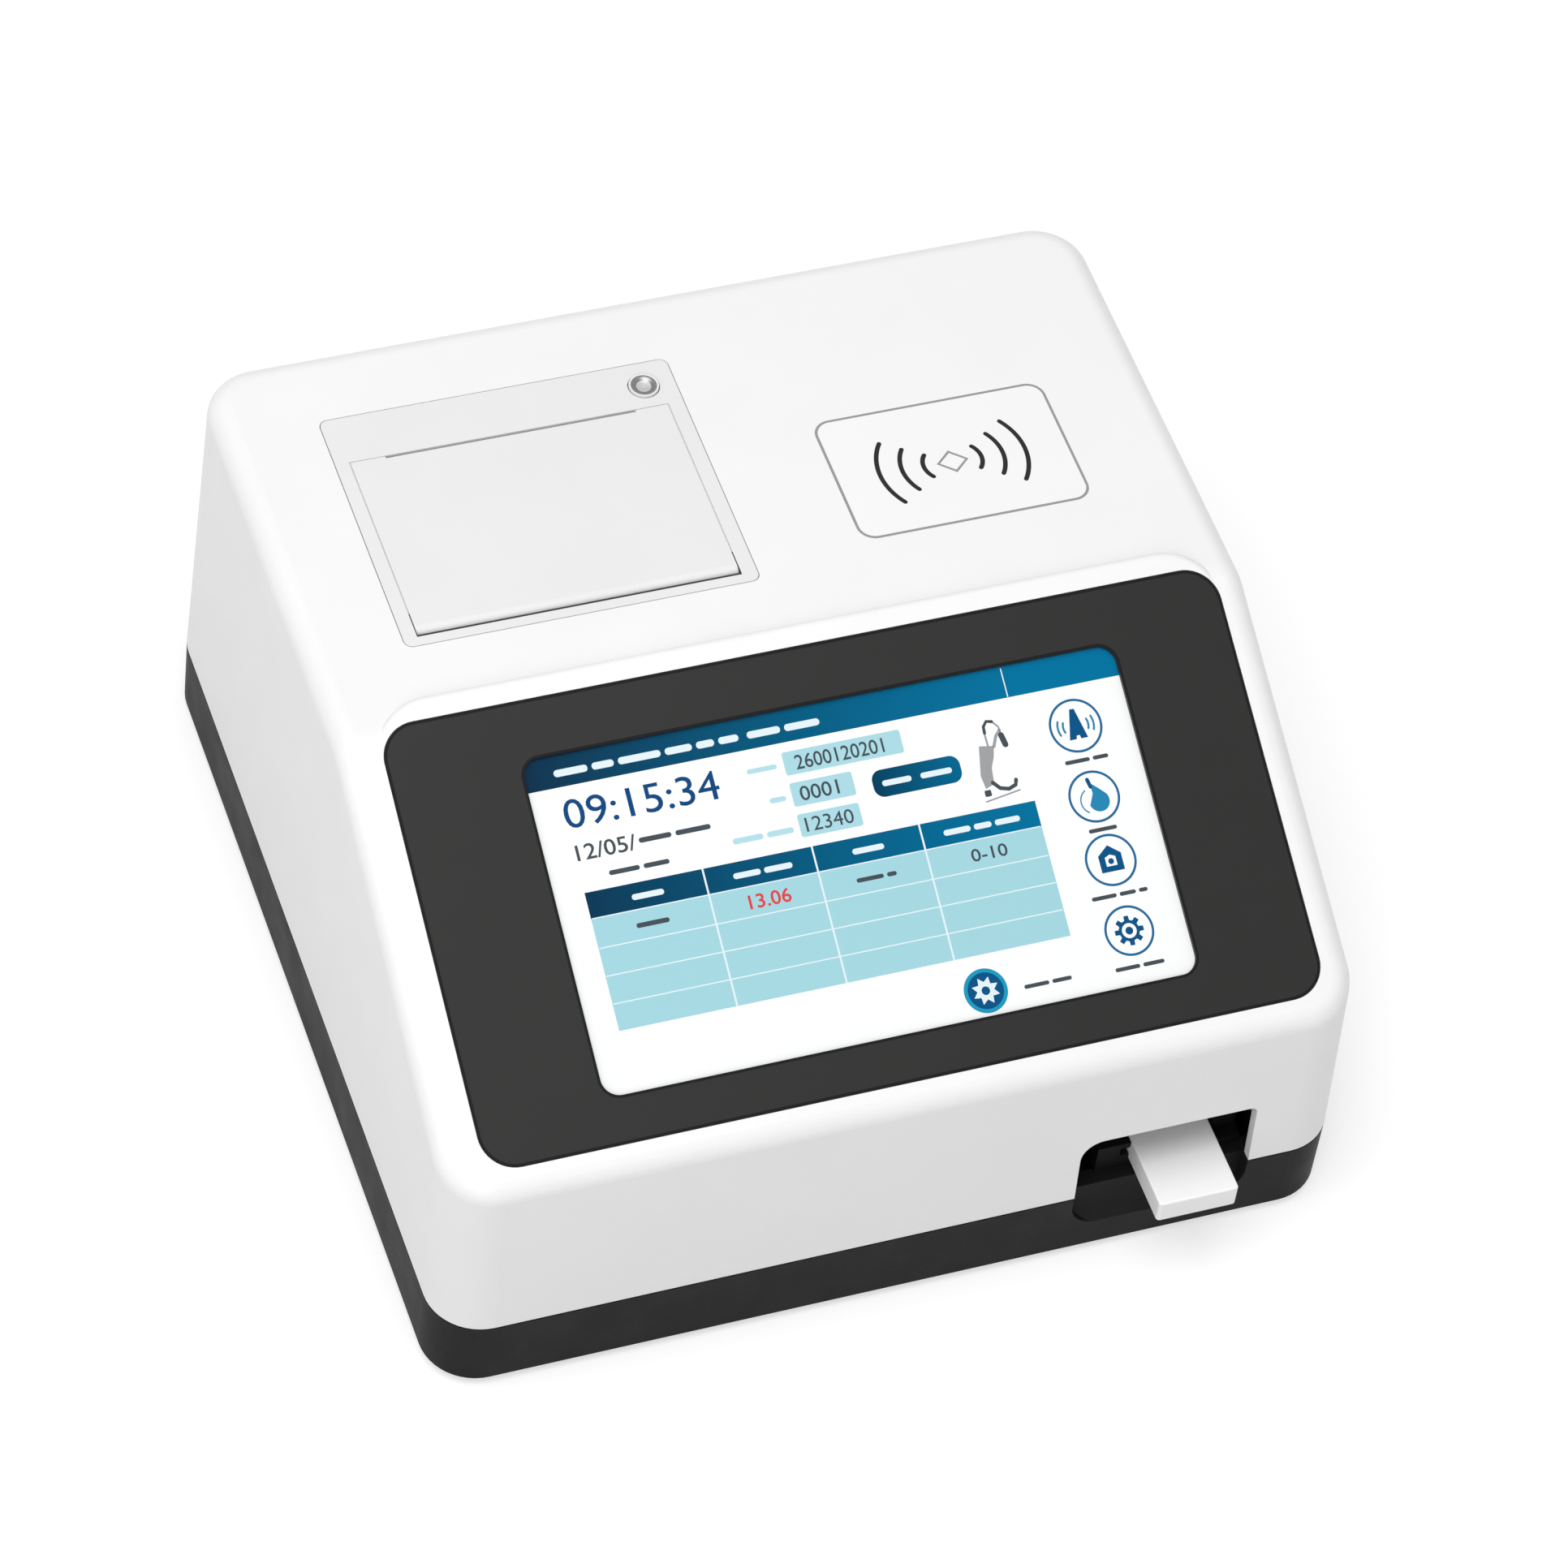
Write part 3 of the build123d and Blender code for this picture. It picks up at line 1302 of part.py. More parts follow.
with BuildPart() as usb_ports:
    for x in usb_x:
        box_between(
            (x - usb_size[0] / 2, socket_face - usb_size[1], board_top),
            (x + usb_size[0] / 2, socket_face, board_top + usb_size[2]),
        )
        usb_z = board_top + usb_size[2] / 2
        box_between(
            (x - usb_opening[0] / 2, socket_face - usb_size[1] + wall / 2, usb_z - usb_opening[1] / 2),
            (x + usb_opening[0] / 2, socket_face + wall, usb_z + usb_opening[1] / 2),
            mode=Mode.SUBTRACT,
        )
usb_ports.part.label = "usb_ports"
export_step(usb_ports.part, "parts/usb_ports.step")

with BuildPart() as network_port:
    network_z = board_top + network_size[2] / 2
    box_between(
        (network_x - network_size[0] / 2, socket_face - network_size[1], board_top),
        (network_x + network_size[0] / 2, socket_face, board_top + network_size[2]),
    )
    box_between(
        (
            network_x - network_opening[0] / 2,
            socket_face - network_size[1] + wall,
            network_z - network_opening[1] / 2,
        ),
        (network_x + network_opening[0] / 2, socket_face + wall, network_z + network_opening[1] / 2),
        mode=Mode.SUBTRACT,
    )
network_port.part.label = "network_port"
export_step(network_port.part, "parts/network_port.step")

# Printer frame: tub with the door opening, cover, gear and motor seats and the button shelf
cavity_left = printer_left + frame_left_side
cavity_right = printer_right - frame_right_side
cavity_near = printer_near + frame_front
cavity_far = printer_far - frame_rear
tub_low = deck_z - printer_depth
tub_floor = tub_low + frame_floor
door_left = cavity_left + door_side_gap
door_right = cavity_right - door_side_gap
door_near = cavity_near + door_front_gap
door_far = door_near + door_length
cover_near = door_far + door_rear_gap
hinge_y = door_near + hinge_radius
hinge_z = deck_z - hinge_radius
slot_x = (door_left + door_right) / 2 + paper_slot_shift
platen_y = door_far - platen_setback
platen_z = deck_z - platen_drop
pin_left = cavity_left - pin_seat
pin_right = cavity_right + pin_seat
pin_bore = hinge_pin_radius + pin_clearance
gear_right = cavity_right - gear_from_side
gear_left = gear_right - printer_gear_width
fine_pitch = printer_gear_module / 2
idler_z = platen_z - (platen_teeth + idler_teeth) * fine_pitch - fine_extra
motor_gear_reach = (idler_teeth + motor_teeth) * fine_pitch + fine_extra
motor_gear_y = platen_y + motor_gear_reach * cos(radians(motor_gear_turn))
motor_gear_z = idler_z - motor_gear_reach * sin(radians(motor_gear_turn))
printer_motor_right = gear_left - motor_face_gap
printer_motor_left = printer_motor_right - printer_motor_length
button_place = (printer_right - button_from_right, printer_far - button_from_rear)
shelf_top = deck_z - button_shelf
cover_under = deck_z - cover_thick
stem_bore = button_stem + shaft_clearance
axle_seat = cavity_right + frame_right_side * 2 / 3

with BuildPart() as printer_frame:
    box_between((printer_left, printer_near, tub_low), (printer_right, printer_far, deck_z))
    fillet(printer_frame.edges().filter_by(Axis.Z), printer_corner)
    cavity_low = (cavity_left, cavity_near, tub_floor)
    box_between(cavity_low, (cavity_right, cavity_far, cover_under), mode=Mode.SUBTRACT)
    for place in printer_bosses:
        with BuildSketch(Plane.XY.offset(printer_boss_low - tab_thick)):
            with Locations(place):
                Circle(post_radius)
                inward = post_radius if place[0] < printer_x else -post_radius
                with Locations((inward, 0)):
                    Rectangle(2 * post_radius, 2 * post_radius)
        extrude(amount=tab_thick)
    box_between(cavity_low, (cavity_right, cover_near, deck_z), mode=Mode.SUBTRACT)
    for place in printer_bosses:
        upright(
            place, printer_boss_low - tab_thick, printer_boss_low, small_screw_hole, mode=Mode.SUBTRACT
        )
    box_between(
        (button_place[0] - button_flange, button_place[1] - button_flange, shelf_top - shelf_thick),
        (cavity_right, cavity_far, shelf_top),
    )
    for x in (printer_motor_left + collar_edge, printer_motor_right - collar_edge - collar_width):
        lengthwise(x, x + collar_width, motor_gear_y, motor_gear_z, printer_motor_radius + collar_thick)
        box_between(
            (x, motor_gear_y, motor_gear_z - printer_motor_radius),
            (x + collar_width, cavity_far, motor_gear_z + printer_motor_radius),
        )
    lengthwise(
        printer_motor_left - wall,
        printer_motor_right,
        motor_gear_y,
        motor_gear_z,
        printer_motor_radius,
        mode=Mode.SUBTRACT,
    )
    upright(button_place, shelf_top, cover_under, button_flange + button_gap, mode=Mode.SUBTRACT)
    upright(button_place, cover_under, deck_z, button_radius + button_gap, mode=Mode.SUBTRACT)
    upright(button_place, shelf_top - shelf_thick, shelf_top, stem_bore, mode=Mode.SUBTRACT)
    lengthwise(pin_left, pin_right, hinge_y, hinge_z, pin_bore, mode=Mode.SUBTRACT)
    lengthwise(cavity_right, axle_seat, platen_y, idler_z, axle_radius, mode=Mode.SUBTRACT)
    box_between(
        (
            printer_ribbon_x - printer_ribbon_width / 2 - ribbon_pass,
            printer_header_y - ribbon_pass,
            tub_low,
        ),
        (
            printer_ribbon_x + printer_ribbon_width / 2 + ribbon_pass,
            printer_header_y + ribbon_pass,
            tub_floor,
        ),
        mode=Mode.SUBTRACT,
    )
printer_frame.part.label = "printer_frame"
export_step(printer_frame.part, "parts/printer_frame.step")

with BuildPart() as printer_screws:
    for place in printer_bosses:
        head_z = printer_boss_low - tab_thick - small_head_height
        upward_screw(place, head_z, tab_thick + small_grip, *small_screw_form)
printer_screws.part.label = "printer_screws"
export_step(printer_screws.part, "parts/printer_screws.step")

# Printer door with its hinge barrel, paper slot edge, ribs and platen arms
arm_places = [door_left + arm_place, door_right - arm_place - arm_thick]
door_under = deck_z - door_thick
platen_bore = platen_shaft_radius + shaft_clearance
with BuildPart() as printer_door:
    box_between((door_left, hinge_y, door_under), (door_right, door_far, deck_z))
    lengthwise(door_left, door_right, hinge_y, hinge_z, hinge_radius)
    for x in (door_left + 2 * arm_place, slot_x - rib_width / 2, door_right - 2 * arm_place - rib_width):
        box_between(
            (x, hinge_y + hinge_radius, door_under - rib_depth),
            (x + rib_width, platen_y - 2 * platen_radius, door_under),
        )
    for x in arm_places:
        box_between(
            (x, platen_y - arm_half_width, platen_z),
            (x + arm_thick, platen_y + arm_half_width, door_under),
        )
        lengthwise(x, x + arm_thick, platen_y, platen_z, arm_half_width)
    lengthwise(door_left, door_right, platen_y, platen_z, platen_bore, mode=Mode.SUBTRACT)
    lengthwise(door_left, door_right, hinge_y, hinge_z, pin_bore, mode=Mode.SUBTRACT)
    box_between(
        (slot_x - paper_slot_width / 2, door_far - paper_slot_gap, door_under),
        (slot_x + paper_slot_width / 2, door_far, deck_z),
        mode=Mode.SUBTRACT,
    )
printer_door.part.label = "printer_door"
export_step(printer_door.part, "parts/printer_door.step")

with BuildPart() as door_hinge_pin:
    lengthwise(pin_left, pin_right, hinge_y, hinge_z, hinge_pin_radius)
door_hinge_pin.part.label = "door_hinge_pin"
export_step(door_hinge_pin.part, "parts/door_hinge_pin.step")

# Platen, gear train and motor of the printer
with BuildPart() as platen_roller:
    lengthwise(slot_x - platen_length / 2, slot_x + platen_length / 2, platen_y, platen_z, platen_radius)
    lengthwise(
        slot_x - platen_length / 2,
        slot_x + platen_length / 2,
        platen_y,
        platen_z,
        platen_shaft_radius,
        mode=Mode.SUBTRACT,
    )
platen_roller.part.label = "platen_roller"
export_step(platen_roller.part, "parts/platen_roller.step")

shaft_left = door_left + arm_place / 2
shaft_right = gear_right + gear_from_side / 2
with BuildPart() as platen_shaft:
    lengthwise(shaft_left, shaft_right, platen_y, platen_z, platen_shaft_radius)
platen_shaft.part.label = "platen_shaft"
export_step(platen_shaft.part, "parts/platen_shaft.step")

platen_phase = pi / platen_teeth - pi / 2
with BuildPart() as platen_gear:
    with BuildSketch(side_plane(gear_left, platen_y, platen_z)):
        with BuildLine():
            Polyline(*gear_points(platen_teeth, printer_gear_module, fine_backlash, platen_phase), close=True)
        make_face()
        Circle(platen_shaft_radius, mode=Mode.SUBTRACT)
    extrude(amount=printer_gear_width)
platen_gear.part.label = "platen_gear"
export_step(platen_gear.part, "parts/platen_gear.step")

with BuildPart() as idler_gear:
    with BuildSketch(side_plane(gear_left, platen_y, idler_z)):
        with BuildLine():
            Polyline(*gear_points(idler_teeth, printer_gear_module, fine_backlash, pi / 2), close=True)
        make_face()
        Circle(axle_radius + shaft_clearance, mode=Mode.SUBTRACT)
    extrude(amount=printer_gear_width)
idler_gear.part.label = "idler_gear"
export_step(idler_gear.part, "parts/idler_gear.step")

with BuildPart() as idler_axle:
    lengthwise(gear_left - gear_from_side / 4, axle_seat, platen_y, idler_z, axle_radius)
idler_axle.part.label = "idler_axle"
export_step(idler_axle.part, "parts/idler_axle.step")

motor_phase = pi + pi / motor_teeth - radians(motor_gear_turn)
motor_shaft_start = printer_motor_left + printer_motor_length / 2
with BuildPart() as motor_gear:
    with BuildSketch(side_plane(gear_left, motor_gear_y, motor_gear_z)):
        with BuildLine():
            Polyline(*gear_points(motor_teeth, printer_gear_module, fine_backlash, motor_phase), close=True)
        make_face()
    extrude(amount=printer_gear_width)
    lengthwise(motor_shaft_start, gear_left, motor_gear_y, motor_gear_z, motor_shaft_radius)
motor_gear.part.label = "motor_gear"
export_step(motor_gear.part, "parts/motor_gear.step")

with BuildPart() as printer_motor:
    lengthwise(printer_motor_left, printer_motor_right, motor_gear_y, motor_gear_z, printer_motor_radius)
    lengthwise(
        motor_shaft_start,
        printer_motor_right,
        motor_gear_y,
        motor_gear_z,
        motor_shaft_radius + shaft_clearance,
        mode=Mode.SUBTRACT,
    )
printer_motor.part.label = "printer_motor"
export_step(printer_motor.part, "parts/printer_motor.step")

# Print head on its leaf spring, and the ribbon down to the main board
head_near = platen_y + platen_radius + head_gap
head_far = head_near + head_thick
head_top = deck_z - head_drop
head_low = head_top - head_height
head_left = slot_x - platen_length / 2
head_right = slot_x + platen_length / 2
with BuildPart() as print_head:
    box_between((head_left, head_near, head_low), (head_right, head_far, head_top))
    chamfer(print_head.edges().filter_by(Axis.X).group_by(Axis.Z)[-1], head_gap)
print_head.part.label = "print_head"
export_step(print_head.part, "parts/print_head.step")

with BuildPart() as head_spring:
    with BuildSketch(Plane.YZ.offset(slot_x - spring_width / 2)):
        with BuildLine():
            FilletPolyline(
                (head_far + spring_sheet / 2, head_low + spring_sheet),
                (head_far + spring_sheet / 2, head_top - 2 * spring_sheet),
                (cavity_far - spring_sheet / 2, head_low + head_height / 3),
                (cavity_far - spring_sheet / 2, head_low - head_height / 2),
                radius=spring_sheet,
            )
        trace(line_width=spring_sheet)
    extrude(amount=spring_width)
head_spring.part.label = "head_spring"
export_step(head_spring.part, "parts/head_spring.step")

with BuildPart() as printer_ribbon:
    with BuildSketch(Plane.YZ.offset(printer_ribbon_x - printer_ribbon_width / 2)):
        with BuildLine():
            FilletPolyline(
                ((head_near + head_far) / 2, head_low),
                ((head_near + head_far) / 2, head_low - 2 * ribbon_bend),
                (printer_header_y, head_low - 4 * ribbon_bend),
                (printer_header_y, header_top),
                radius=ribbon_bend,
            )
        trace(line_width=ribbon_thick)
    extrude(amount=printer_ribbon_width)
printer_ribbon.part.label = "printer_ribbon"
export_step(printer_ribbon.part, "parts/printer_ribbon.step")

# Paper roll on the two stubs of its holder
roll_y = printer_near + roll_setback
roll_z = deck_z - roll_drop
roll_left = slot_x - roll_width / 2
roll_right = slot_x + roll_width / 2
with BuildPart() as paper_roll:
    lengthwise(roll_left, roll_right, roll_y, roll_z, roll_radius)
    lengthwise(roll_left, roll_right, roll_y, roll_z, core_radius, mode=Mode.SUBTRACT)
paper_roll.part.label = "paper_roll"
export_step(paper_roll.part, "parts/paper_roll.step")

with BuildPart() as roll_core:
    lengthwise(roll_left, roll_right, roll_y, roll_z, core_radius)
    lengthwise(roll_left, roll_right, roll_y, roll_z, core_bore, mode=Mode.SUBTRACT)
roll_core.part.label = "roll_core"
export_step(roll_core.part, "parts/roll_core.step")

hub_radius = core_bore - shaft_clearance
cheek_left_x = roll_left - cheek_gap - cheek_thick
cheek_right_x = roll_right + cheek_gap
with BuildPart() as paper_holder:
    box_between(
        (cheek_left_x, roll_y - cheek_width / 2, tub_floor),
        (cheek_right_x + cheek_thick, roll_y + cheek_width / 2, tub_floor + cheek_thick),
    )
    for x in (cheek_left_x, cheek_right_x):
        box_between(
            (x, roll_y - cheek_width / 2, tub_floor),
            (x + cheek_thick, roll_y + cheek_width / 2, roll_z),
        )
        lengthwise(x, x + cheek_thick, roll_y, roll_z, cheek_width / 2)
    lengthwise(cheek_left_x, cheek_left_x + cheek_thick + cheek_gap + hub_reach, roll_y, roll_z, hub_radius)
    lengthwise(cheek_right_x - cheek_gap - hub_reach, cheek_right_x + cheek_thick, roll_y, roll_z, hub_radius)
paper_holder.part.label = "paper_holder"
export_step(paper_holder.part, "parts/paper_holder.step")

# Door release button on its coil spring
flange_top = cover_under - shaft_clearance
flange_low = flange_top - button_flange_thick
with BuildPart() as release_button:
    upright(button_place, flange_low, deck_z + button_proud, button_radius)
    upright(button_place, flange_low, flange_top, button_flange)
    upright(button_place, shelf_top - shelf_thick, flange_low, button_stem)
    with Locations((*button_place, deck_z + button_proud + dish_radius - button_dish)):
        Sphere(dish_radius, mode=Mode.SUBTRACT)
release_button.part.label = "release_button"
export_step(release_button.part, "parts/release_button.step")

coil_height = flange_low - shelf_top - 2 * coil_wire
with BuildPart() as button_spring:
    with BuildLine(Plane(origin=(*button_place, shelf_top + coil_wire))):
        coil = Helix(pitch=coil_height / coil_turns, height=coil_height, radius=coil_radius)
    with BuildSketch(Plane(origin=coil @ 0, z_dir=coil % 0)):
        Circle(coil_wire)
    sweep(path=coil, is_frenet=True)
    box_between(
        (button_place[0] - button_flange, button_place[1] - button_flange, shelf_top - wall),
        (button_place[0] + button_flange, button_place[1] + button_flange, shelf_top),
        mode=Mode.SUBTRACT,
    )
    box_between(
        (button_place[0] - button_flange, button_place[1] - button_flange, flange_low),
        (button_place[0] + button_flange, button_place[1] + button_flange, flange_low + wall),
        mode=Mode.SUBTRACT,
    )
button_spring.part.label = "button_spring"
export_step(button_spring.part, "parts/button_spring.step")

# Power switch in the recess of the rear wall
pivot_y = recess_y - rocker_sink
rocker_reach = hypot(rocker_length / 2, rocker_rise) + rocker_gap
rocker_left = switch_x - rocker_width / 2
with BuildPart() as switch_body:
    box_between(
        (switch_x - switch_width / 2, recess_y - switch_depth, switch_z - switch_height / 2),
        (switch_x + switch_width / 2, recess_y + switch_flange_thick, switch_z + switch_height / 2),
    )
    box_between(
        (switch_x - switch_width / 2 - switch_flange, recess_y, switch_z - switch_height / 2 - switch_flange),
        (
            switch_x + switch_width / 2 + switch_flange,
            recess_y + switch_flange_thick,
            switch_z + switch_height / 2 + switch_flange,
        ),
    )
    box_between(
        (rocker_left - rocker_gap, pivot_y - rocker_rise - rocker_gap, switch_z - rocker_reach),
        (rocker_left + rocker_width + rocker_gap, recess_y + wall, switch_z + rocker_reach),
        mode=Mode.SUBTRACT,
    )
    lengthwise(
        rocker_left - rocker_pin_reach - shaft_clearance,
        rocker_left + rocker_width + rocker_pin_reach + shaft_clearance,
        pivot_y,
        switch_z,
        rocker_pin_radius + shaft_clearance,
        mode=Mode.SUBTRACT,
    )
switch_body.part.label = "switch_body"
export_step(switch_body.part, "parts/switch_body.step")

with BuildPart() as rocker_switch:
    with BuildSketch(side_plane(rocker_left, pivot_y, switch_z, rocker_tilt)):
        with BuildLine():
            Polyline(
                (-rocker_edge, -rocker_length / 2),
                (rocker_rise, -rocker_length / 2),
                (rocker_rise - rocker_edge, 0),
                (rocker_rise, rocker_length / 2),
                (-rocker_edge, rocker_length / 2),
                (-rocker_hub, 0),
                close=True,
            )
        make_face()
    extrude(amount=rocker_width)
    lengthwise(
        rocker_left - rocker_pin_reach,
        rocker_left + rocker_width + rocker_pin_reach,
        pivot_y,
        switch_z,
        rocker_pin_radius,
    )
rocker_switch.part.label = "rocker_switch"
export_step(rocker_switch.part, "parts/rocker_switch.step")
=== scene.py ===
"""Looks of a bench fluorescence immunoassay analyzer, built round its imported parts.

It is laid out as an add-on, with an operator for each group of pieces, and is run as a script.
"""

import json
from math import asin, cos, degrees, pi, radians, sin, sqrt

import bmesh
import bpy
from bpy.props import FloatProperty, FloatVectorProperty, PointerProperty
from mathutils import Matrix, Vector


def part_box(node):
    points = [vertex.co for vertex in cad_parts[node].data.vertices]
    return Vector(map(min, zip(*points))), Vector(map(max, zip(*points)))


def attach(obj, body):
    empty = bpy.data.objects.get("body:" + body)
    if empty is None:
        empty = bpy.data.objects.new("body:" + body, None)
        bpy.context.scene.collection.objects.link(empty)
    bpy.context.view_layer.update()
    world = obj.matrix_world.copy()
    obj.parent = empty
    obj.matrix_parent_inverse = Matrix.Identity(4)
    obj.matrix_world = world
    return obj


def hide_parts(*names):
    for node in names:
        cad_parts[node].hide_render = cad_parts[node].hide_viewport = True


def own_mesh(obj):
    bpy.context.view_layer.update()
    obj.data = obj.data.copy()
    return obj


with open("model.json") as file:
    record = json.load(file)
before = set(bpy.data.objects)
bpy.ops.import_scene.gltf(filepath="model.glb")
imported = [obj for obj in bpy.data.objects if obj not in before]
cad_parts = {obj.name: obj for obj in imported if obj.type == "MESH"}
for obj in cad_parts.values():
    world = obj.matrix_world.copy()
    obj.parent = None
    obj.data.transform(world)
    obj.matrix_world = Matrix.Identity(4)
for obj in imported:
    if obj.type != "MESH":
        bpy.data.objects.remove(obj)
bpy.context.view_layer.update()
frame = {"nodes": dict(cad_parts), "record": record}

bl_info = {
    "name": "Immunoassay analyzer looks",
    "version": (1, 0, 0),
    "blender": (4, 5, 0),
    "location": "View3D > Sidebar > Analyzer",
    "description": "Dresses the packed analyzer with materials, its screen picture and small details",
    "category": "Object",
}

MM = 0.001
WHITE = (1.0, 1.0, 1.0, 1.0)

# The screen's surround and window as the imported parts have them, in radians and millimetres

SLOPE_ANGLE = radians(25.9)
SURROUND_THICK = 1.2
SURROUND_LENGTH = 111.6
SURROUND_CORNER = 9.0
WINDOW_SIZE = (154.2, 85.0)
WINDOW_CORNER = 4.6
WINDOW_RISE = 54.3
WINDOW_SHIFT = 0.9

# Layout of the screen picture, in millimetres right of and above its top left corner

# A box is left, bottom, right, top, an icon is X, Y, radius, and figures are a text, its box and
# how far its lines are widened

BAR_BOTTOM = -7.95
BAR_FADE = (0.0, 130.0)
BAR_DIVIDER = (124.5, -7.8, 124.8, -0.4)
TITLE_WORDS = ((7.6, -6.0, 55, -2.7), (57.2, -6.0, 76, -2.7))
CLOCK_FIGURES = (("09:15:34", (7.6, -18.6, 47.2, -11.3), 0.001),)
DATE_FIGURES = (("12/05/", (8.2, -26.8, 23.4, -22.8), 0.008),)
DATE_WORDS = ((24.2, -26.2, 42.6, -23.0), (15.0, -32.5, 30.4, -29.5))
FIELDS = ((64.5, -16.3, 95.2, -10.4), (64.5, -24.3, 80.6, -18.3), (64.4, -32.1, 80.4, -26.3))
FIELD_LABELS = ((54.9, -14.6, 62.6, -12.1), (58.7, -22.9, 62.9, -20.2), (47.1, -31.1, 62.8, -28.1))
FIELD_FIGURES = (
    ("2600120201", (67.4, -15.3, 90.4, -11.6), 0.006),
    ("0001", (66.6, -23.2, 76.6, -19.5), 0.006),
    ("12340", (66.0, -31.0, 78.4, -27.4), 0.001),
)
FIELD_CORNER = 0.6
PILL = (85.2, -26.3, 108.2, -19.4)
PILL_CORNER = 2.6
PILL_FADE = (80.0, 118.0)
PILL_WORDS = ((87.6, -24.2, 95.2, -21.5), (97.6, -24.2, 105.8, -21.5))
TABLE = (7.8, -69.5, 124.5, -34.7)
TABLE_HEAD = -41.3
TABLE_COLUMNS = (37.9, 66.1, 94.0)
TABLE_ROWS = (-48.8, -55.8, -62.8)
HEAD_WORDS = (
    (19.0, -39.4, 27.2, -36.7),
    (45.0, -39.4, 60.2, -36.7),
    (75.8, -39.4, 84.0, -36.7),
    (99.6, -39.4, 119.6, -36.7),
)
CELL_WORDS = ((18.4, -46.6, 26.8, -43.6), (75.0, -46.6, 85.4, -43.9))
RANGE_FIGURES = (("0-10", (105.0, -46.7, 114.4, -43.5), 0.008),)
RESULT_FIGURES = (("13.06", (47.2, -47.0, 58.0, -43.4), 0.012),)
ICONS = ((139.8, -18.3, 6.9), (139.7, -36.7, 6.65), (139.6, -53.1, 6.65), (139.5, -71.3, 6.4))
ROUND_ICON = (99.8, -78.5, 5.6)
ICON_WORDS = (
    (134.6, -28.3, 146.0, -25.8),
    (136.0, -46.3, 143.4, -43.8),
    (132.2, -63.1, 146.9, -60.6),
    (133.4, -81.5, 146.3, -79.0),
    (109.6, -80.8, 122.0, -78.3),
)


def seen(red, green, blue):
    """Scene colour of a colour given as it looks on a screen, from 0 to 255."""
    shares = [value / 255 for value in (red, green, blue)]
    return tuple(s / 12.92 if s <= 0.04045 else ((s + 0.055) / 1.055) ** 2.4 for s in shares)


# Sizes and colours that a user may change


def colour(name, description, default):
    """A colour property."""
    return FloatVectorProperty(
        name=name, description=description, subtype="COLOR", size=3, min=0, max=1, default=default
    )


def length(name, description, default):
    """A length property, in metres."""
    return FloatProperty(
        name=name, description=description, subtype="DISTANCE", unit="LENGTH", min=0, default=default
    )


class AnalyzerColours(bpy.types.PropertyGroup):
    """Colours of the analyzer's finishes and of its screen picture."""

    housing: colour("Housing", "White moulded upper housing", (0.865, 0.865, 0.865))
    base: colour("Base", "Dark moulded base", (0.011, 0.011, 0.011))
    # Painted shade: colour of the dark lines round the screen window and along the surround's edge
    surround: colour("Surround", "Charcoal frame round the screen", (0.026, 0.026, 0.0255))
    surround_shade_line: colour("Surround lines", "Lines along the edges of the frame", (0.01, 0.01, 0.01))
    printer: colour("Printer", "Printer unit and its door", (0.78, 0.78, 0.78))
    drawer: colour("Drawer", "Card drawer", (0.94, 0.94, 0.94))
    film: colour("Reader film", "Printed film over the contactless reader", (0.88, 0.88, 0.88))
    mark: colour("Reader mark", "Waves printed on the reader film", seen(18, 18, 18))
    faint_mark: colour("Reader outline", "Outline and diamond on the reader film", seen(150, 150, 150))
    picture: colour("Picture ground", "White ground of the screen picture", seen(250, 251, 251))
    bar_dark: colour("Bar, dark end", "Left end of the picture's title bar", seen(0, 46, 74))
    bar_light: colour("Bar, light end", "Right end of the picture's title bar", seen(0, 114, 158))
    field: colour("Fields", "Entry fields of the picture", seen(170, 216, 226))
    cells: colour("Table cells", "Cells of the result table", seen(163, 212, 222))
    label: colour("Labels", "Pale labels beside the fields", seen(178, 220, 230))
    numerals: colour("Clock", "Figures of the picture's clock", seen(12, 72, 126))
    ink: colour("Ink", "Dark small text of the picture", seen(70, 80, 88))
    alarm: colour("Out of range", "Result that is out of its range", seen(222, 70, 72))
    icon: colour("Icon", "Filled shapes in the icons", seen(10, 84, 134))
    soft_icon: colour("Soft icon", "Lighter shapes in the icons", seen(40, 134, 178))
    ring: colour("Icon rings", "Rings round the icons", seen(34, 106, 154))
    round_icon: colour("Round icon", "Rim of the filled icon", seen(30, 152, 188))


class AnalyzerSizes(bpy.types.PropertyGroup):
    """Sizes of the added details and of the stage."""

    picture_sheet: length("Picture sheet", "Thickness of the picture's ground", 0.05 * MM)
    picture_ink: length("Picture ink", "Thickness of each layer drawn on the picture", 0.03 * MM)
    film_ink: length("Film ink", "Thickness of the print on the reader film", 0.04 * MM)
    # Width of the painted shade lines round the screen window and along the surround's edge
    shade_line_width: length("Edge line", "Width of the lines along the edges of the surround", 0.7 * MM)
    wave_width: length("Wave width", "Width of the reader's waves", 1.2 * MM)
    outline_width: length("Outline width", "Width of the reader's outline", 0.62 * MM)
    paper: length("Paper", "Thickness of the paper strip", 0.12 * MM)
    floor_radius: length("Floor", "Radius of the floor", 6.0)
    lens: FloatProperty(
        name="Lens", description="Focal length on a 36 mm sensor", min=1, default=157.18, unit="CAMERA"
    )


# Node trees

NOISE_SPAN = (0.3, 0.7)
EDGE_SAMPLES = 4


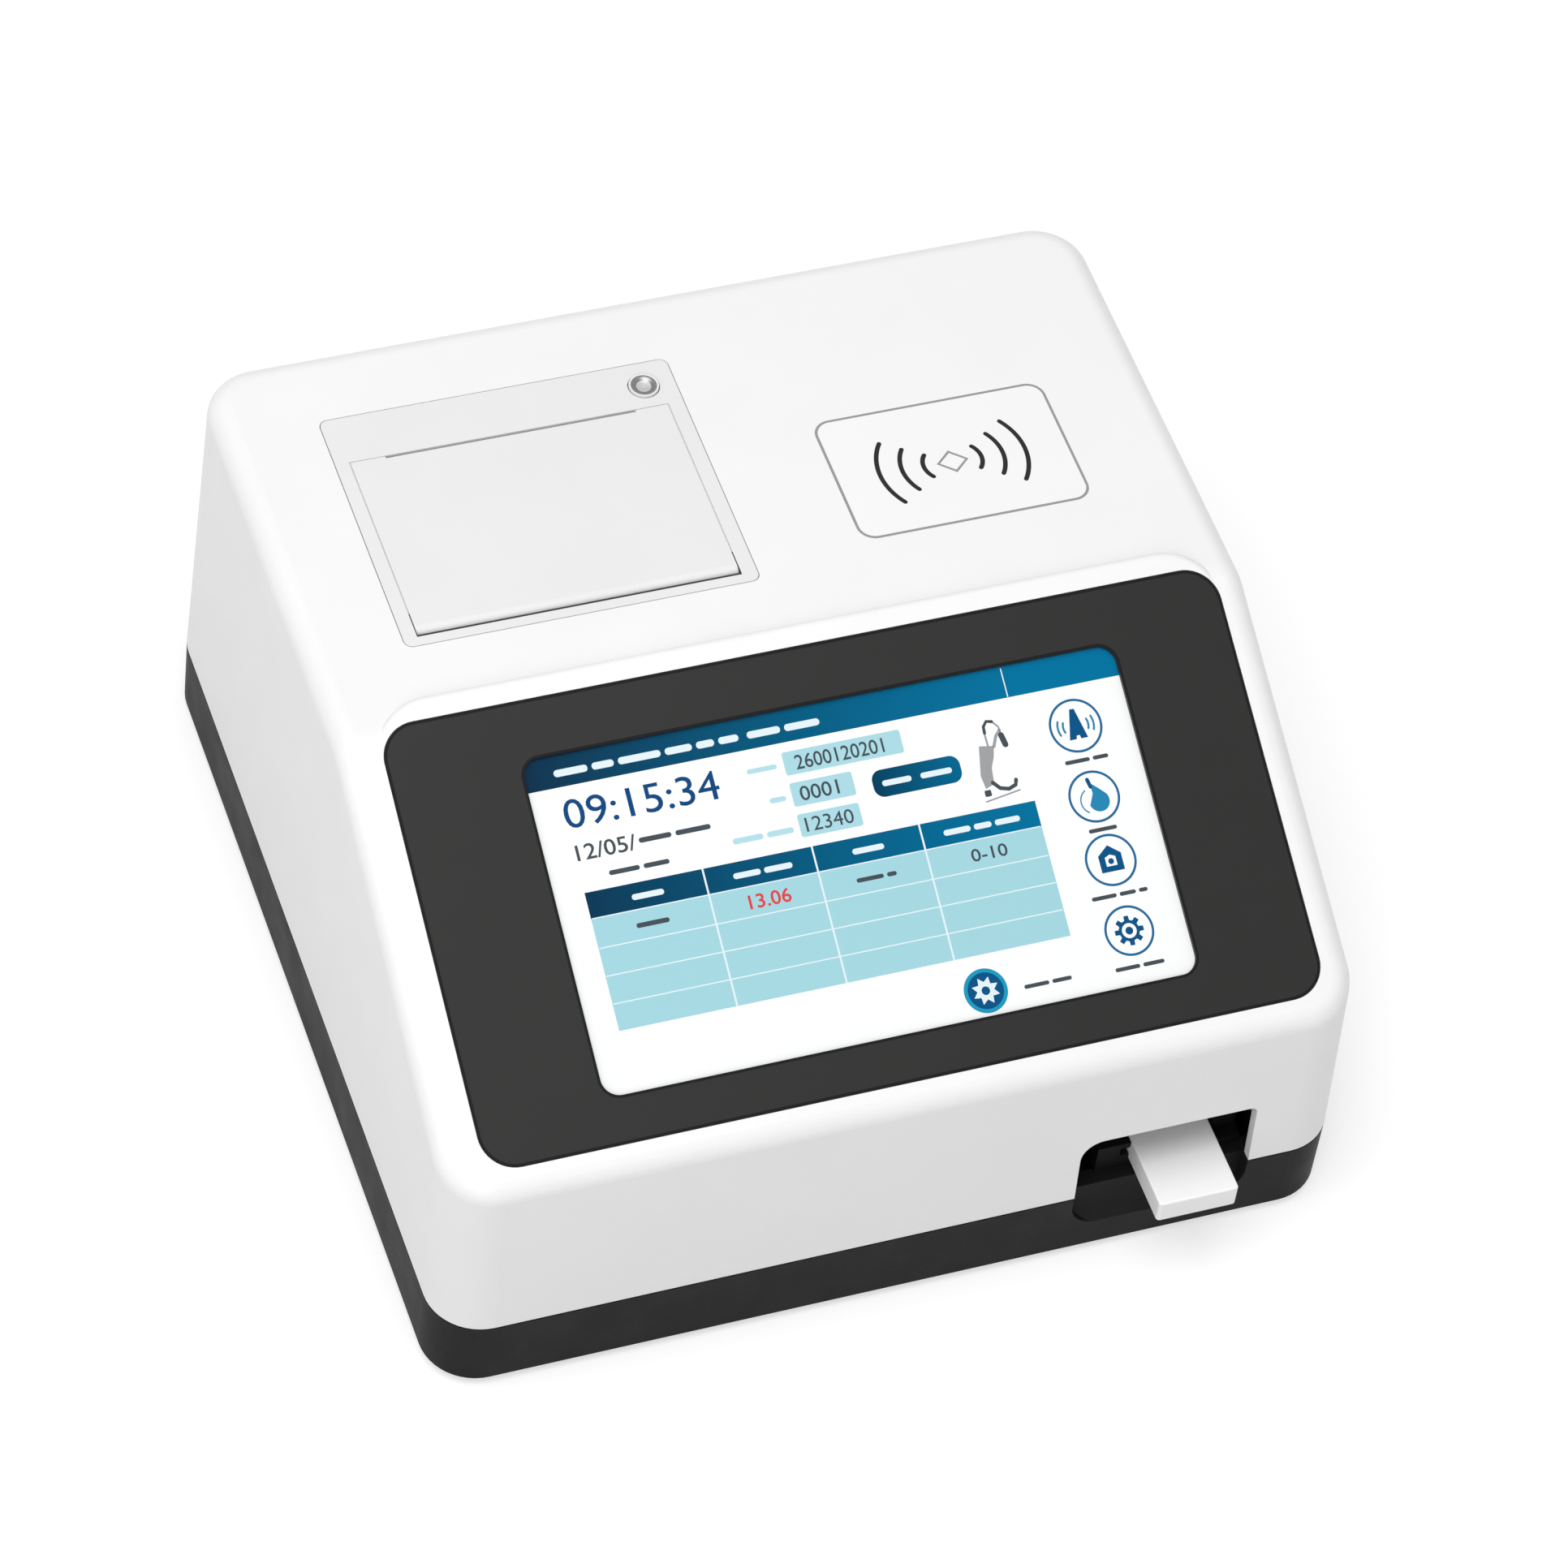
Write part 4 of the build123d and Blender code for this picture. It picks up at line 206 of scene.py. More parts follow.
class Nodes:
    """Adds nodes to a node tree and joins them to others."""

    def __init__(self, tree):
        self.tree = tree

    def add(self, kind, inputs=None, **settings):
        """A new node: inputs are numbers, colours or the outputs of other nodes."""
        made = self.tree.nodes.new("ShaderNode" + kind)
        for key, value in settings.items():
            setattr(made, key, value)
        for key, value in (inputs or {}).items():
            self.feed(made.inputs[key], value)
        return made

    def feed(self, socket, value):
        """Links a socket to an output or sets it; a colour may come without its alpha."""
        if isinstance(value, bpy.types.NodeSocket):
            self.tree.links.new(value, socket)
        elif socket.type == "RGBA":
            socket.default_value = (*value, 1.0)[:4]
        else:
            socket.default_value = value

    def give(self, sockets, **values):
        """Feeds sockets by name, with underscores for spaces."""
        for key, value in values.items():
            self.feed(sockets[key.replace("_", " ")], value)

    def place(self):
        """Where a point lies in its object."""
        return self.add("TexCoord").outputs["Object"]

    def maths(self, operation, *values):
        """One step of arithmetic."""
        return self.add("Math", dict(enumerate(values)), operation=operation).outputs[0]

    def vector(self, operation, *values):
        """Outputs of one step of arithmetic on vectors."""
        return self.add("VectorMath", dict(enumerate(values)), operation=operation).outputs

    def between(self, value, low, high, start=0.0, end=1.0):
        """The value, which runs from start to end, moved to run from low to high."""
        inputs = {"Value": value, "From Min": start, "From Max": end, "To Min": low, "To Max": high}
        return self.add("MapRange", inputs).outputs["Result"]

    def blend(self, share, first, second, blend_type="MIX"):
        """Two colours mixed in that share, or otherwise combined."""
        inputs = {0: share, 6: first, 7: second}
        return self.add("Mix", inputs, data_type="RGBA", blend_type=blend_type).outputs[2]

    def noise(self, size, where=None, detail=3.0):
        """Soft random pattern whose spots are about as large as size, in metres."""
        scale = self.maths("DIVIDE", 1.0, size)
        inputs = {"Vector": where or self.place(), "Scale": scale, "Detail": detail}
        return self.add("TexNoise", inputs).outputs["Fac"]

    def effect(self, name, **values):
        """Outputs of one of the shared effects, with its own values."""
        made = self.add("Group", node_tree=bpy.data.node_groups[name])
        self.give(made.inputs, **values)
        return made.outputs


def new_effect(name, outputs, **inputs):
    """Shader node group with named sockets: its nodes, what it is given and what it makes."""
    group = bpy.data.node_groups.new(name, "ShaderNodeTree")
    for label, default in inputs.items():
        kind = {3: "Vector", 4: "Color"}[len(default)] if isinstance(default, tuple) else "Float"
        socket = group.interface.new_socket(label, in_out="INPUT", socket_type="NodeSocket" + kind)
        socket.default_value = default
    for label in outputs:
        kind = "Color" if label == "Colour" else "Float"
        group.interface.new_socket(label, in_out="OUTPUT", socket_type="NodeSocket" + kind)
    given, made = group.nodes.new("NodeGroupInput"), group.nodes.new("NodeGroupOutput")
    return Nodes(group), given.outputs, made.inputs


def build_effects():
    """Shared effects: moulded grain, drawn lines, colour drift, rubbed edges, wound layers, pixels."""
    relief_and_gloss = ("Height", "Roughness")
    nodes, given, made = new_effect("moulded_grain", relief_and_gloss, Size=0.0006, Low=0.3, High=0.4)
    fine = nodes.noise(given["Size"], detail=4.0)
    broad = nodes.noise(nodes.maths("MULTIPLY", given["Size"], 28.0), detail=2.0)
    spread = nodes.maths("ADD", nodes.maths("MULTIPLY", fine, 0.4), nodes.maths("MULTIPLY", broad, 0.6))
    gloss = nodes.between(spread, given["Low"], given["High"], *NOISE_SPAN)
    nodes.give(made, Height=nodes.maths("MULTIPLY_ADD", broad, 0.35, fine), Roughness=gloss)

    stretch = (0.02, 1.0, 1.0)
    nodes, given, made = new_effect(
        "drawn_lines", relief_and_gloss, Size=0.0003, Stretch=stretch, Low=0.2, High=0.4
    )
    along = nodes.vector("MULTIPLY", nodes.place(), given["Stretch"])[0]
    lines = nodes.noise(given["Size"], along, 5.0)
    gloss = nodes.between(lines, given["Low"], given["High"], *NOISE_SPAN)
    nodes.give(made, Height=lines, Roughness=gloss)

    nodes, given, made = new_effect("colour_drift", ("Colour",), Colour=WHITE, Amount=0.03, Size=0.03)
    low = nodes.maths("SUBTRACT", 1.0, given["Amount"])
    shade = nodes.between(nodes.noise(given["Size"]), low, 1.0, 0.35, 0.65)
    nodes.give(made, Colour=nodes.blend(1.0, given["Colour"], shade, "MULTIPLY"))

    nodes, given, made = new_effect("rubbed_edges", ("Colour",), Colour=WHITE, Rubbed=WHITE, Width=0.0006)
    rounded = nodes.add("Bevel", {"Radius": given["Width"]}, samples=EDGE_SAMPLES).outputs[0]
    straight = nodes.add("NewGeometry").outputs["Normal"]
    agree = nodes.vector("DOT_PRODUCT", rounded, straight)["Value"]
    edge = nodes.between(agree, 0.7, 0.0, 0.9, 0.995)
    broken = nodes.between(nodes.noise(0.004), 0.2, 1.0, 0.4, 0.6)
    share = nodes.maths("MULTIPLY", edge, broken)
    nodes.give(made, Colour=nodes.blend(share, given["Colour"], given["Rubbed"]))

    origin = (0.0, 0.0, 0.0)
    nodes, given, made = new_effect("wound_layers", ("Height", "Shade"), Centre=origin, Pitch=0.0004)
    from_axis = nodes.vector("SUBTRACT", nodes.place(), given["Centre"])[0]
    across = nodes.vector("MULTIPLY", from_axis, (0, 1, 1))[0]
    radius = nodes.vector("LENGTH", across)["Value"]
    turns = nodes.maths("MULTIPLY", nodes.maths("DIVIDE", radius, given["Pitch"]), 2 * pi)
    layer = nodes.between(nodes.maths("SINE", turns), 0.0, 1.0, -1.0, 1.0)
    uneven = nodes.maths("MULTIPLY", layer, nodes.noise(0.003, across))
    nodes.give(made, Height=layer, Shade=nodes.between(uneven, 1.0, 0.82))

    nodes, given, made = new_effect("pixel_rows", ("Colour",), Colour=WHITE, Pitch=0.00015, Depth=0.04)
    axes = nodes.add("SeparateXYZ", {0: nodes.place()}).outputs
    rows = []
    for axis in ("X", "Y"):
        step = nodes.maths("FRACT", nodes.maths("DIVIDE", axes[axis], given["Pitch"]))
        rows.append(nodes.maths("LESS_THAN", step, 0.12))
    gap = nodes.maths("MULTIPLY", nodes.maths("MAXIMUM", *rows), given["Depth"])
    lit = nodes.maths("SUBTRACT", 1.0, gap)
    nodes.give(made, Colour=nodes.blend(1.0, given["Colour"], lit, "MULTIPLY"))


# Materials


def emptied(owner):
    """Nodes of a material or world, with none in them yet."""
    owner.use_nodes = True
    owner.node_tree.nodes.clear()
    return Nodes(owner.node_tree)


def new_material(name):
    """A material, its nodes and the sockets of its surface."""
    material = bpy.data.materials.new(name)
    nodes = emptied(material)
    surface = nodes.add("BsdfPrincipled")
    nodes.add("OutputMaterial", {"Surface": surface.outputs[0]})
    return material, nodes, surface.inputs


def bumped(nodes, height, depth, edge=0.0):
    """Normal of a surface with that relief, and with its edges eased over a small radius."""
    inputs = {"Height": height, "Distance": depth, "Strength": 1.0}
    if edge:
        inputs["Normal"] = nodes.add("Bevel", {"Radius": edge}, samples=EDGE_SAMPLES).outputs[0]
    return nodes.add("Bump", inputs).outputs[0]


def moulded(name, tint, low, high, grain=0.5, depth=4e-6, drift=0.03, edge=0.15, rubbed=None, **more):
    """Moulded or coated surface: sizes of grain and edge in mm."""
    material, nodes, surface = new_material(name)
    shade = nodes.effect("colour_drift", Colour=tint, Amount=drift)["Colour"]
    if rubbed:
        shade = nodes.effect("rubbed_edges", Colour=shade, Rubbed=rubbed)["Colour"]
    grained = nodes.effect("moulded_grain", Size=grain * MM, Low=low, High=high)
    normal = bumped(nodes, grained["Height"], depth, edge * MM)
    nodes.give(surface, Base_Color=shade, Roughness=grained["Roughness"], Normal=normal, **more)
    return material


def metal(name, tint, low, high, stretch, size=0.25, depth=3e-6):
    """Worked metal with lines drawn along the axis whose stretch is small."""
    material, nodes, surface = new_material(name)
    shade = nodes.effect("colour_drift", Colour=tint, Amount=0.06, Size=0.012)["Colour"]
    lines = nodes.effect("drawn_lines", Size=size * MM, Stretch=stretch, Low=low, High=high)
    normal = bumped(nodes, lines["Height"], depth, 0.1 * MM)
    nodes.give(surface, Base_Color=shade, Roughness=lines["Roughness"], Normal=normal, Metallic=1.0)
    return material


def clear(name, tint, low, high):
    """Glass with a faint wipe pattern in its gloss."""
    material, nodes, surface = new_material(name)
    shade = nodes.effect("colour_drift", Colour=tint, Amount=0.03)["Colour"]
    gloss = nodes.effect("moulded_grain", Size=0.004, Low=low, High=high)["Roughness"]
    nodes.give(surface, Base_Color=shade, Roughness=gloss, IOR=1.5, Transmission_Weight=1.0)
    return material


def circuit(name, tint, trace, pad):
    """Solder mask with traces, pads and vias."""
    material, nodes, surface = new_material(name)
    where = nodes.place()
    inputs = {"Vector": where, "Scale": 320.0}
    cells = nodes.add("TexVoronoi", inputs, distance="MANHATTAN", feature="DISTANCE_TO_EDGE")
    lines = nodes.maths("LESS_THAN", cells.outputs["Distance"], 0.1)
    spots = nodes.add("TexVoronoi", {"Vector": where, "Scale": 420.0, "Randomness": 0.6})
    vias = nodes.maths("LESS_THAN", spots.outputs["Distance"], 0.17)
    pads = nodes.blend(vias, nodes.blend(lines, tint, trace), pad)
    shade = nodes.effect("colour_drift", Colour=pads, Amount=0.1)["Colour"]
    gloss = nodes.between(vias, 0.24, 0.4)
    normal = bumped(nodes, nodes.maths("MAXIMUM", lines, vias), 2e-5)
    shine = nodes.maths("MULTIPLY", vias, 0.9)
    nodes.give(surface, Base_Color=shade, Roughness=gloss, Metallic=shine, Normal=normal, Coat_Weight=0.3)
    return material


def wound(name, tint, centre, pitch, low, high):
    """Wound paper or board whose layers show on its ends."""
    material, nodes, surface = new_material(name)
    layers = nodes.effect("wound_layers", Centre=centre, Pitch=pitch)
    base = nodes.effect("colour_drift", Colour=tint, Amount=0.05, Size=0.008)["Colour"]
    shade = nodes.blend(1.0, base, layers["Shade"], "MULTIPLY")
    grained = nodes.effect("moulded_grain", Size=0.0003, Low=low, High=high)
    relief = nodes.maths("MULTIPLY_ADD", layers["Height"], 3.0, grained["Height"])
    normal = bumped(nodes, relief, 1e-5)
    nodes.give(surface, Base_Color=shade, Roughness=grained["Roughness"], Normal=normal)
    return material


def glowing(name, tint, far_tint=None, span=()):
    """Screen colour that glows a little, even or turning into another between two places."""
    material, nodes, surface = new_material(name)
    if far_tint:
        across = nodes.add("SeparateXYZ", {0: nodes.place()}).outputs["X"]
        start, end = [place * MM for place in span]
        tint = nodes.blend(nodes.between(across, 0.0, 1.0, start, end), tint, far_tint)
    lit = nodes.effect("pixel_rows", Colour=tint)["Colour"]
    dimmed = nodes.blend(1.0, lit, (0.76, 0.76, 0.76), "MULTIPLY")
    gloss = nodes.between(nodes.noise(0.03), 0.16, 0.24, *NOISE_SPAN)
    nodes.give(surface, Base_Color=dimmed, Emission_Color=lit, Roughness=gloss)
    nodes.give(surface, Emission_Strength=0.2, Specular_IOR_Level=0.06)
    return material


def build_finishes(colours):
    """A material for each slot of the record."""
    # tint, lowest and highest roughness, grain in mm, relief in m, drift of the tint,
    # easing of the edges in mm, tint of rubbed edges
    plastics = {
        "white_housing": (colours.housing, 0.34, 0.44, 0.7, 3e-6, 0.015, 0.25),
        "dark_base": (colours.base, 0.5, 0.64, 0.45, 1.4e-5, 0.12, 0.3, (0.03, 0.03, 0.03)),
        "foot_rubber": ((0.022, 0.022, 0.022), 0.68, 0.85, 0.5, 2e-5, 0.2),
        "surround": (colours.surround, 0.34, 0.4, 0.35, 3e-6, 0.02, 0.2, (0.045, 0.045, 0.045)),
        "display_black": ((0.012, 0.012, 0.014), 0.12, 0.2, 1.0, 1e-6),
        "ribbon": ((0.82, 0.82, 0.79), 0.3, 0.4, 1.0, 4e-6),
        "overlay_film": (colours.film, 0.3, 0.38, 0.3, 3e-6, 0.01, 0.08),
        "chip_black": ((0.02, 0.02, 0.021), 0.5, 0.65, 0.3, 6e-6, 0.15),
        "drawer_white": (colours.drawer, 0.36, 0.46, 0.6, 4e-6, 0.015, 0.2),
        "guide_black": ((0.008, 0.008, 0.009), 0.5, 0.65, 0.5, 8e-6, 0.15, 0.25),
        "gear_white": ((0.83, 0.82, 0.77), 0.35, 0.45, 0.8, 4e-6, 0.04),
        "optics_black": ((0.02, 0.02, 0.024), 0.34, 0.44, 0.3, 6e-6, 0.1),
        "printer_white": (colours.printer, 0.36, 0.46, 0.6, 3e-6, 0.015, 0.15),
        "platen_rubber": ((0.045, 0.045, 0.047), 0.6, 0.75, 0.3, 1e-5, 0.1),
        "head_dark": ((0.06, 0.05, 0.045), 0.18, 0.28, 0.8, 2e-6, 0.1),
        "switch_black": ((0.014, 0.014, 0.015), 0.14, 0.22, 0.9, 2e-6, 0.1, 0.3),
    }
    extras = {
        "white_housing": {"Coat_Weight": 0.06},
        "dark_base": {"Specular_IOR_Level": 0.15},
        "surround": {"Specular_IOR_Level": 0.16},
        "overlay_film": {"Coat_Weight": 0.15},
        "guide_black": {"Specular_IOR_Level": 0.1},
        "optics_black": {"Metallic": 0.7},
        "head_dark": {"Coat_Weight": 0.4},
        "switch_black": {"Coat_Weight": 0.3},
    }
    # tint, lowest and highest roughness, stretch of the drawn lines along each axis
    metals = {
        "screw_steel": ((0.52, 0.53, 0.53), 0.22, 0.38, (1, 1, 0.06)),
        "sheet_steel": ((0.58, 0.58, 0.59), 0.26, 0.42, (0.04, 1, 1)),
        "spring_steel": ((0.6, 0.6, 0.61), 0.16, 0.28, (1, 0.05, 1)),
        "shaft_steel": ((0.66, 0.66, 0.68), 0.12, 0.24, (0.05, 1, 1)),
        "motor_can": ((0.5, 0.5, 0.52), 0.24, 0.36, (0.05, 1, 1)),
        "heat_sink": ((0.7, 0.71, 0.72), 0.3, 0.45, (1, 1, 0.05)),
        "socket_metal": ((0.66, 0.66, 0.67), 0.2, 0.34, (1, 0.05, 1)),
    }
    # tint, lowest and highest roughness
    glasses = {
        "touch_glass": ((0.9, 0.95, 1.0), 0.02, 0.06),
        "filter_glass": ((0.35, 0.45, 0.9), 0.01, 0.04),
        "lens_glass": ((0.95, 0.97, 1.0), 0.01, 0.03),
    }
    # tint of the mask, of its traces and of its pads
    boards = {"circuit_board": ((0.012, 0.11, 0.06), (0.02, 0.19, 0.1), (0.62, 0.5, 0.25))}
    # tint, middle of the roll, thickness of a layer in m, lowest and highest roughness
    rolls = {
        "paper": ((0.87, 0.87, 0.85), middle_of("paper_roll"), 0.0005, 0.55, 0.7),
        "core_board": ((0.42, 0.31, 0.2), middle_of("roll_core"), 0.0004, 0.65, 0.8),
    }
    kinds = ((moulded, plastics), (metal, metals), (clear, glasses), (circuit, boards), (wound, rolls))
    return {
        name: make(name, *values, **extras.get(name, {}))
        for make, rows in kinds
        for name, values in rows.items()
    }


# Flat and turned shapes, in millimetres

BAR_LENGTHS = (2.6, 1.7, 3.3, 2.1, 1.4)
LABEL_WEIGHT = 0.24
SMALL_WEIGHT = 0.2
SMOOTH_ANGLE = radians(35)


def polar(x, y, spots):
    """Points round a centre, from angles in degrees and distances."""
    return [(x + reach * cos(radians(angle)), y + reach * sin(radians(angle))) for angle, reach in spots]


def arc(x, y, radius, start, end, steps=16):
    """Points along an arc, its ends in degrees."""
    return polar(x, y, [(start + (end - start) * step / steps, radius) for step in range(steps + 1)])


def disc(x, y, radius, steps=48):
    """Points round a circle."""
    return arc(x, y, radius, 0, 360, steps)[:-1]


def moved(points, x, y):
    """Points moved right and up."""
    return [(x + across, y + up) for across, up in points]


def rounded_box(left, low, right, high, radius=0.0, steps=6):
    """Outline of a box with round corners, counterclockwise."""
    if radius <= 0:
        return [(left, low), (right, low), (right, high), (left, high)]
    points = []
    for x, y, start in (
        (right - radius, low + radius, -90),
        (right - radius, high - radius, 0),
        (left + radius, high - radius, 90),
        (left + radius, low + radius, 180),
    ):
        points += arc(x, y, radius, start, start + 90, steps)
    return points


def stroke(points, width, steps=6):
    """Outline of a line of even width with round ends."""
    half = width / 2
    path = [Vector(point) for point in points]
    left, right = [], []
    for index, point in enumerate(path):
        before = path[max(index - 1, 0)]
        after = path[min(index + 1, len(path) - 1)]
        run = (after - before).normalized()
        side = Vector((-run.y, run.x)) * half
        left.append(tuple(point + side))
        right.append(tuple(point - side))
    caps = []
    for end, side in ((path[-1], right[-1]), (path[0], left[0])):
        start = (Vector(side) - end).angle_signed(Vector((1, 0)))
        turns = [start + pi * step / steps for step in range(1, steps)]
        caps.append([tuple(end + half * Vector((cos(turn), sin(turn)))) for turn in turns])
    return right + caps[0] + left[::-1] + caps[1]


def word_bars(boxes, weight=0.27):
    """Bars that hold the place of a word in each box; weight is half their share of its height."""
    bars = []
    for left, low, right, high in boxes:
        size = high - low
        middle, half = low + 0.46 * size, weight * size
        count = 0
        while left < right:
            end = left + BAR_LENGTHS[count % len(BAR_LENGTHS)] * size
            if right - end < 1.2 * size:
                end = right
            bars.append(rounded_box(left, middle - half, end, middle + half, half * 0.95, 5))
            left = end + 0.34 * size
            count += 1
    return bars


def add_loop(mesh, points):
    """Adds vertices at points in millimetres to a bmesh."""
    return [mesh.verts.new([value * MM for value in point]) for point in points]


def join_loops(mesh, loops):
    """Adds faces between each loop of vertices and the next."""
    for loop, following in zip(loops, loops[1:]):
        for index, vertex in enumerate(loop):
            after = (index + 1) % len(loop)
            mesh.faces.new((vertex, loop[after], following[after], following[index]))


def slab(mesh, outline, low, high):
    """Adds a closed plate over an outline to a bmesh."""
    loops = [add_loop(mesh, [(x, y, z) for x, y in outline]) for z in (low, high)]
    mesh.faces.new(loops[0][::-1])
    mesh.faces.new(loops[1])
    join_loops(mesh, loops)


def hoop(mesh, outer, inner, low, high):
    """Adds a closed plate between two outlines with as many points each."""
    levels = ((outer, low), (outer, high), (inner, high), (inner, low))
    loops = [add_loop(mesh, [(x, y, z) for x, y in outline]) for outline, z in levels]
    join_loops(mesh, loops + loops[:1])


def turned(mesh, profile, steps=48):
    """Adds a closed ring or pin turned about Z from a closed profile of (radius, height)."""
    turns = [2 * pi * step / steps for step in range(steps)]
    loops = [add_loop(mesh, [(r * cos(turn), r * sin(turn), z) for r, z in profile]) for turn in turns]
    join_loops(mesh, loops + loops[:1])


def add_piece(name, mesh, material, body, place=None, smooth=False):
    """Makes a bmesh an object in that place, which rides on a body."""
    bmesh.ops.remove_doubles(mesh, verts=mesh.verts, dist=1e-8)
    bmesh.ops.recalc_face_normals(mesh, faces=mesh.faces)
    data = bpy.data.meshes.new(name)
    mesh.to_mesh(data)
    mesh.free()
    if smooth:
        data.polygons.foreach_set("use_smooth", [True] * len(data.polygons))
        for edge in data.edges:
            edge.use_edge_sharp = False
        data.set_sharp_from_angle(angle=SMOOTH_ANGLE)
    data.materials.append(material)
    made = bpy.data.objects.new(name, data)
    bpy.context.scene.collection.objects.link(made)
    made.matrix_world = place or Matrix.Identity(4)
    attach(made, body)
    return made


def add_plates(name, outlines, low, high, material, body, place, hoops=()):
    """One object of several plates in one layer."""
    mesh = bmesh.new()
    for outline in outlines:
        slab(mesh, outline, low, high)
    for outer, inner in hoops:
        hoop(mesh, outer, inner, low, high)
    return add_piece(name, mesh, material, body, place)


def add_figures(mesh, text, box, low, high, widening):
    """Adds figures that fill a box to a bmesh, as closed plates."""
    words = bpy.data.curves.new("figures", "FONT")
    words.body = text
    words.extrude = 0.5
    words.offset = widening
    words.resolution_u = 4
    made = bpy.data.objects.new("figures", words)
    bpy.context.scene.collection.objects.link(made)
    shape = made.evaluated_get(bpy.context.evaluated_depsgraph_get())
    data = bpy.data.meshes.new_from_object(shape)
    for axis, (start, end) in enumerate(((box[0], box[2]), (box[1], box[3]), (low, high))):
        places = [vertex.co[axis] for vertex in data.vertices]
        least, most = min(places), max(places)
        for vertex, spot in zip(data.vertices, places):
            vertex.co[axis] = (start + (end - start) * (spot - least) / (most - least)) * MM
    mesh.from_mesh(data)
    bpy.data.objects.remove(made)
    bpy.data.curves.remove(words)
    bpy.data.meshes.remove(data)


# Places that the CAD parts give


def middle_of(node):
    """Middle of a part's box."""
    low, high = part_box(node)
    return (low + high) / 2


def top_of(node):
    """Place at the middle of the top of a part's box."""
    middle = middle_of(node)
    return Matrix.Translation((middle.x, middle.y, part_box(node)[1].z))


def rear_of(node):
    """Place at the middle of the rear face of a socket, with Y up and Z into the casing."""
    middle = middle_of(node)
    spot = Matrix.Translation((middle.x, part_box(node)[1].y, middle.z))
    return spot @ Matrix.Rotation(radians(90), 4, "X")


def screen_place():
    """Frame of the screen picture: X right, Y up the slope, from the window's top left corner."""
    low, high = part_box("screen_surround")
    thick = SURROUND_THICK * MM
    run = (high.y - low.y - thick * sin(SLOPE_ANGLE)) / cos(SLOPE_ANGLE)
    start = Vector((0, low.y, high.z - run * sin(SLOPE_ANGLE)))
    turn = Matrix.Rotation(SLOPE_ANGLE, 4, "X")
    middle = (low.x + high.x) / 2 + WINDOW_SHIFT * MM
    corner = Vector((-WINDOW_SIZE[0] / 2, WINDOW_RISE + WINDOW_SIZE[1] / 2, -SURROUND_THICK)) * MM
    spot = start + turn.to_3x3() @ corner
    return Matrix.Translation((middle + corner.x, spot.y, spot.z)) @ turn


# Pieces of the screen picture

GLASS_GAP = 0.01
RING_LINE = 0.62
PALE_INK = seen(226, 240, 245)
STEEL_INK = seen(158, 160, 162)

# A layer is its lower and upper side over the ground, in thicknesses of ink

DRAWN = (-0.5, 1.0)
RAISED = (0.0, 1.5)
RULED = (0.5, 1.5)
ON_TOP = (0.5, 2.0)


class Picture:
    """The screen picture: adds pieces to it, each in one layer and one ink."""

    def __init__(self, colours, sizes):
        self.place = screen_place()
        self.sheet = sizes.picture_sheet / MM
        self.ink = sizes.picture_ink / MM
        own = ("cells", "alarm", "numerals", "ink", "label", "field", "ring", "icon", "soft_icon")
        tints = {key: getattr(colours, key) for key in own}
        tints.update(ground=colours.picture, round=colours.round_icon, pale=PALE_INK, steel=STEEL_INK)
        self.inks = {key: glowing("picture_" + key, tint) for key, tint in tints.items()}
        for key, span in (("bar", BAR_FADE), ("button", PILL_FADE)):
            self.inks[key] = glowing("picture_" + key, colours.bar_dark, colours.bar_light, span)

    def heights(self, layer):
        """Heights of a layer over the touch panel, in millimetres."""
        return [self.sheet + share * self.ink for share in layer]

    def plates(self, name, outlines, layer, ink, hoops=(), slot=None):
        """One piece of plates."""
        low, high = self.heights(layer)
        add_plates(name, outlines, low, high, self.inks[ink], "housing", self.place, hoops)

    def figures(self, name, texts, layer, ink, words=()):
        """One piece of figures, each in its box, and of the bars of words."""
        low, high = self.heights(layer)
        mesh = bmesh.new()
        for outline in words:
            slab(mesh, outline, low, high)
        for text, box, widening in texts:
            add_figures(mesh, text, box, low, high, widening)
        add_piece(name, mesh, self.inks[ink], "housing", self.place)


def draw_ground(picture):
    """White ground of the picture with its title bar."""
    width, tall = WINDOW_SIZE
    outline = rounded_box(0, -tall, width, 0, WINDOW_CORNER, 10)
    ground, place = picture.inks["ground"], picture.place
    add_plates("picture_ground", [outline], GLASS_GAP, picture.sheet, ground, "housing", place)
    top = [point for point in outline if point[1] > -WINDOW_CORNER - 0.01]
    title = [(0, BAR_BOTTOM), (width, BAR_BOTTOM)] + top
    picture.plates("picture_title_bar", [title], DRAWN, "bar", slot="touch_glass")
    words = word_bars(TITLE_WORDS) + [rounded_box(*BAR_DIVIDER)]
    picture.plates("picture_title_words", words, ON_TOP, "pale")


def draw_header(picture):
    """Clock, date, entry fields and button of the picture."""
    picture.figures("clock_figures", CLOCK_FIGURES, DRAWN, "numerals")
    picture.figures("date_line", DATE_FIGURES, DRAWN, "ink", word_bars(DATE_WORDS, SMALL_WEIGHT))
    picture.plates("field_labels", word_bars(FIELD_LABELS, LABEL_WEIGHT), DRAWN, "label")
    fields = [rounded_box(*box, FIELD_CORNER, 3) for box in FIELDS]
    picture.plates("entry_fields", fields, DRAWN, "field")
    picture.figures("entry_figures", FIELD_FIGURES, ON_TOP, "ink")
    picture.plates("info_button", [rounded_box(*PILL, PILL_CORNER, 8)], DRAWN, "button")
    picture.plates("info_words", word_bars(PILL_WORDS), ON_TOP, "pale")


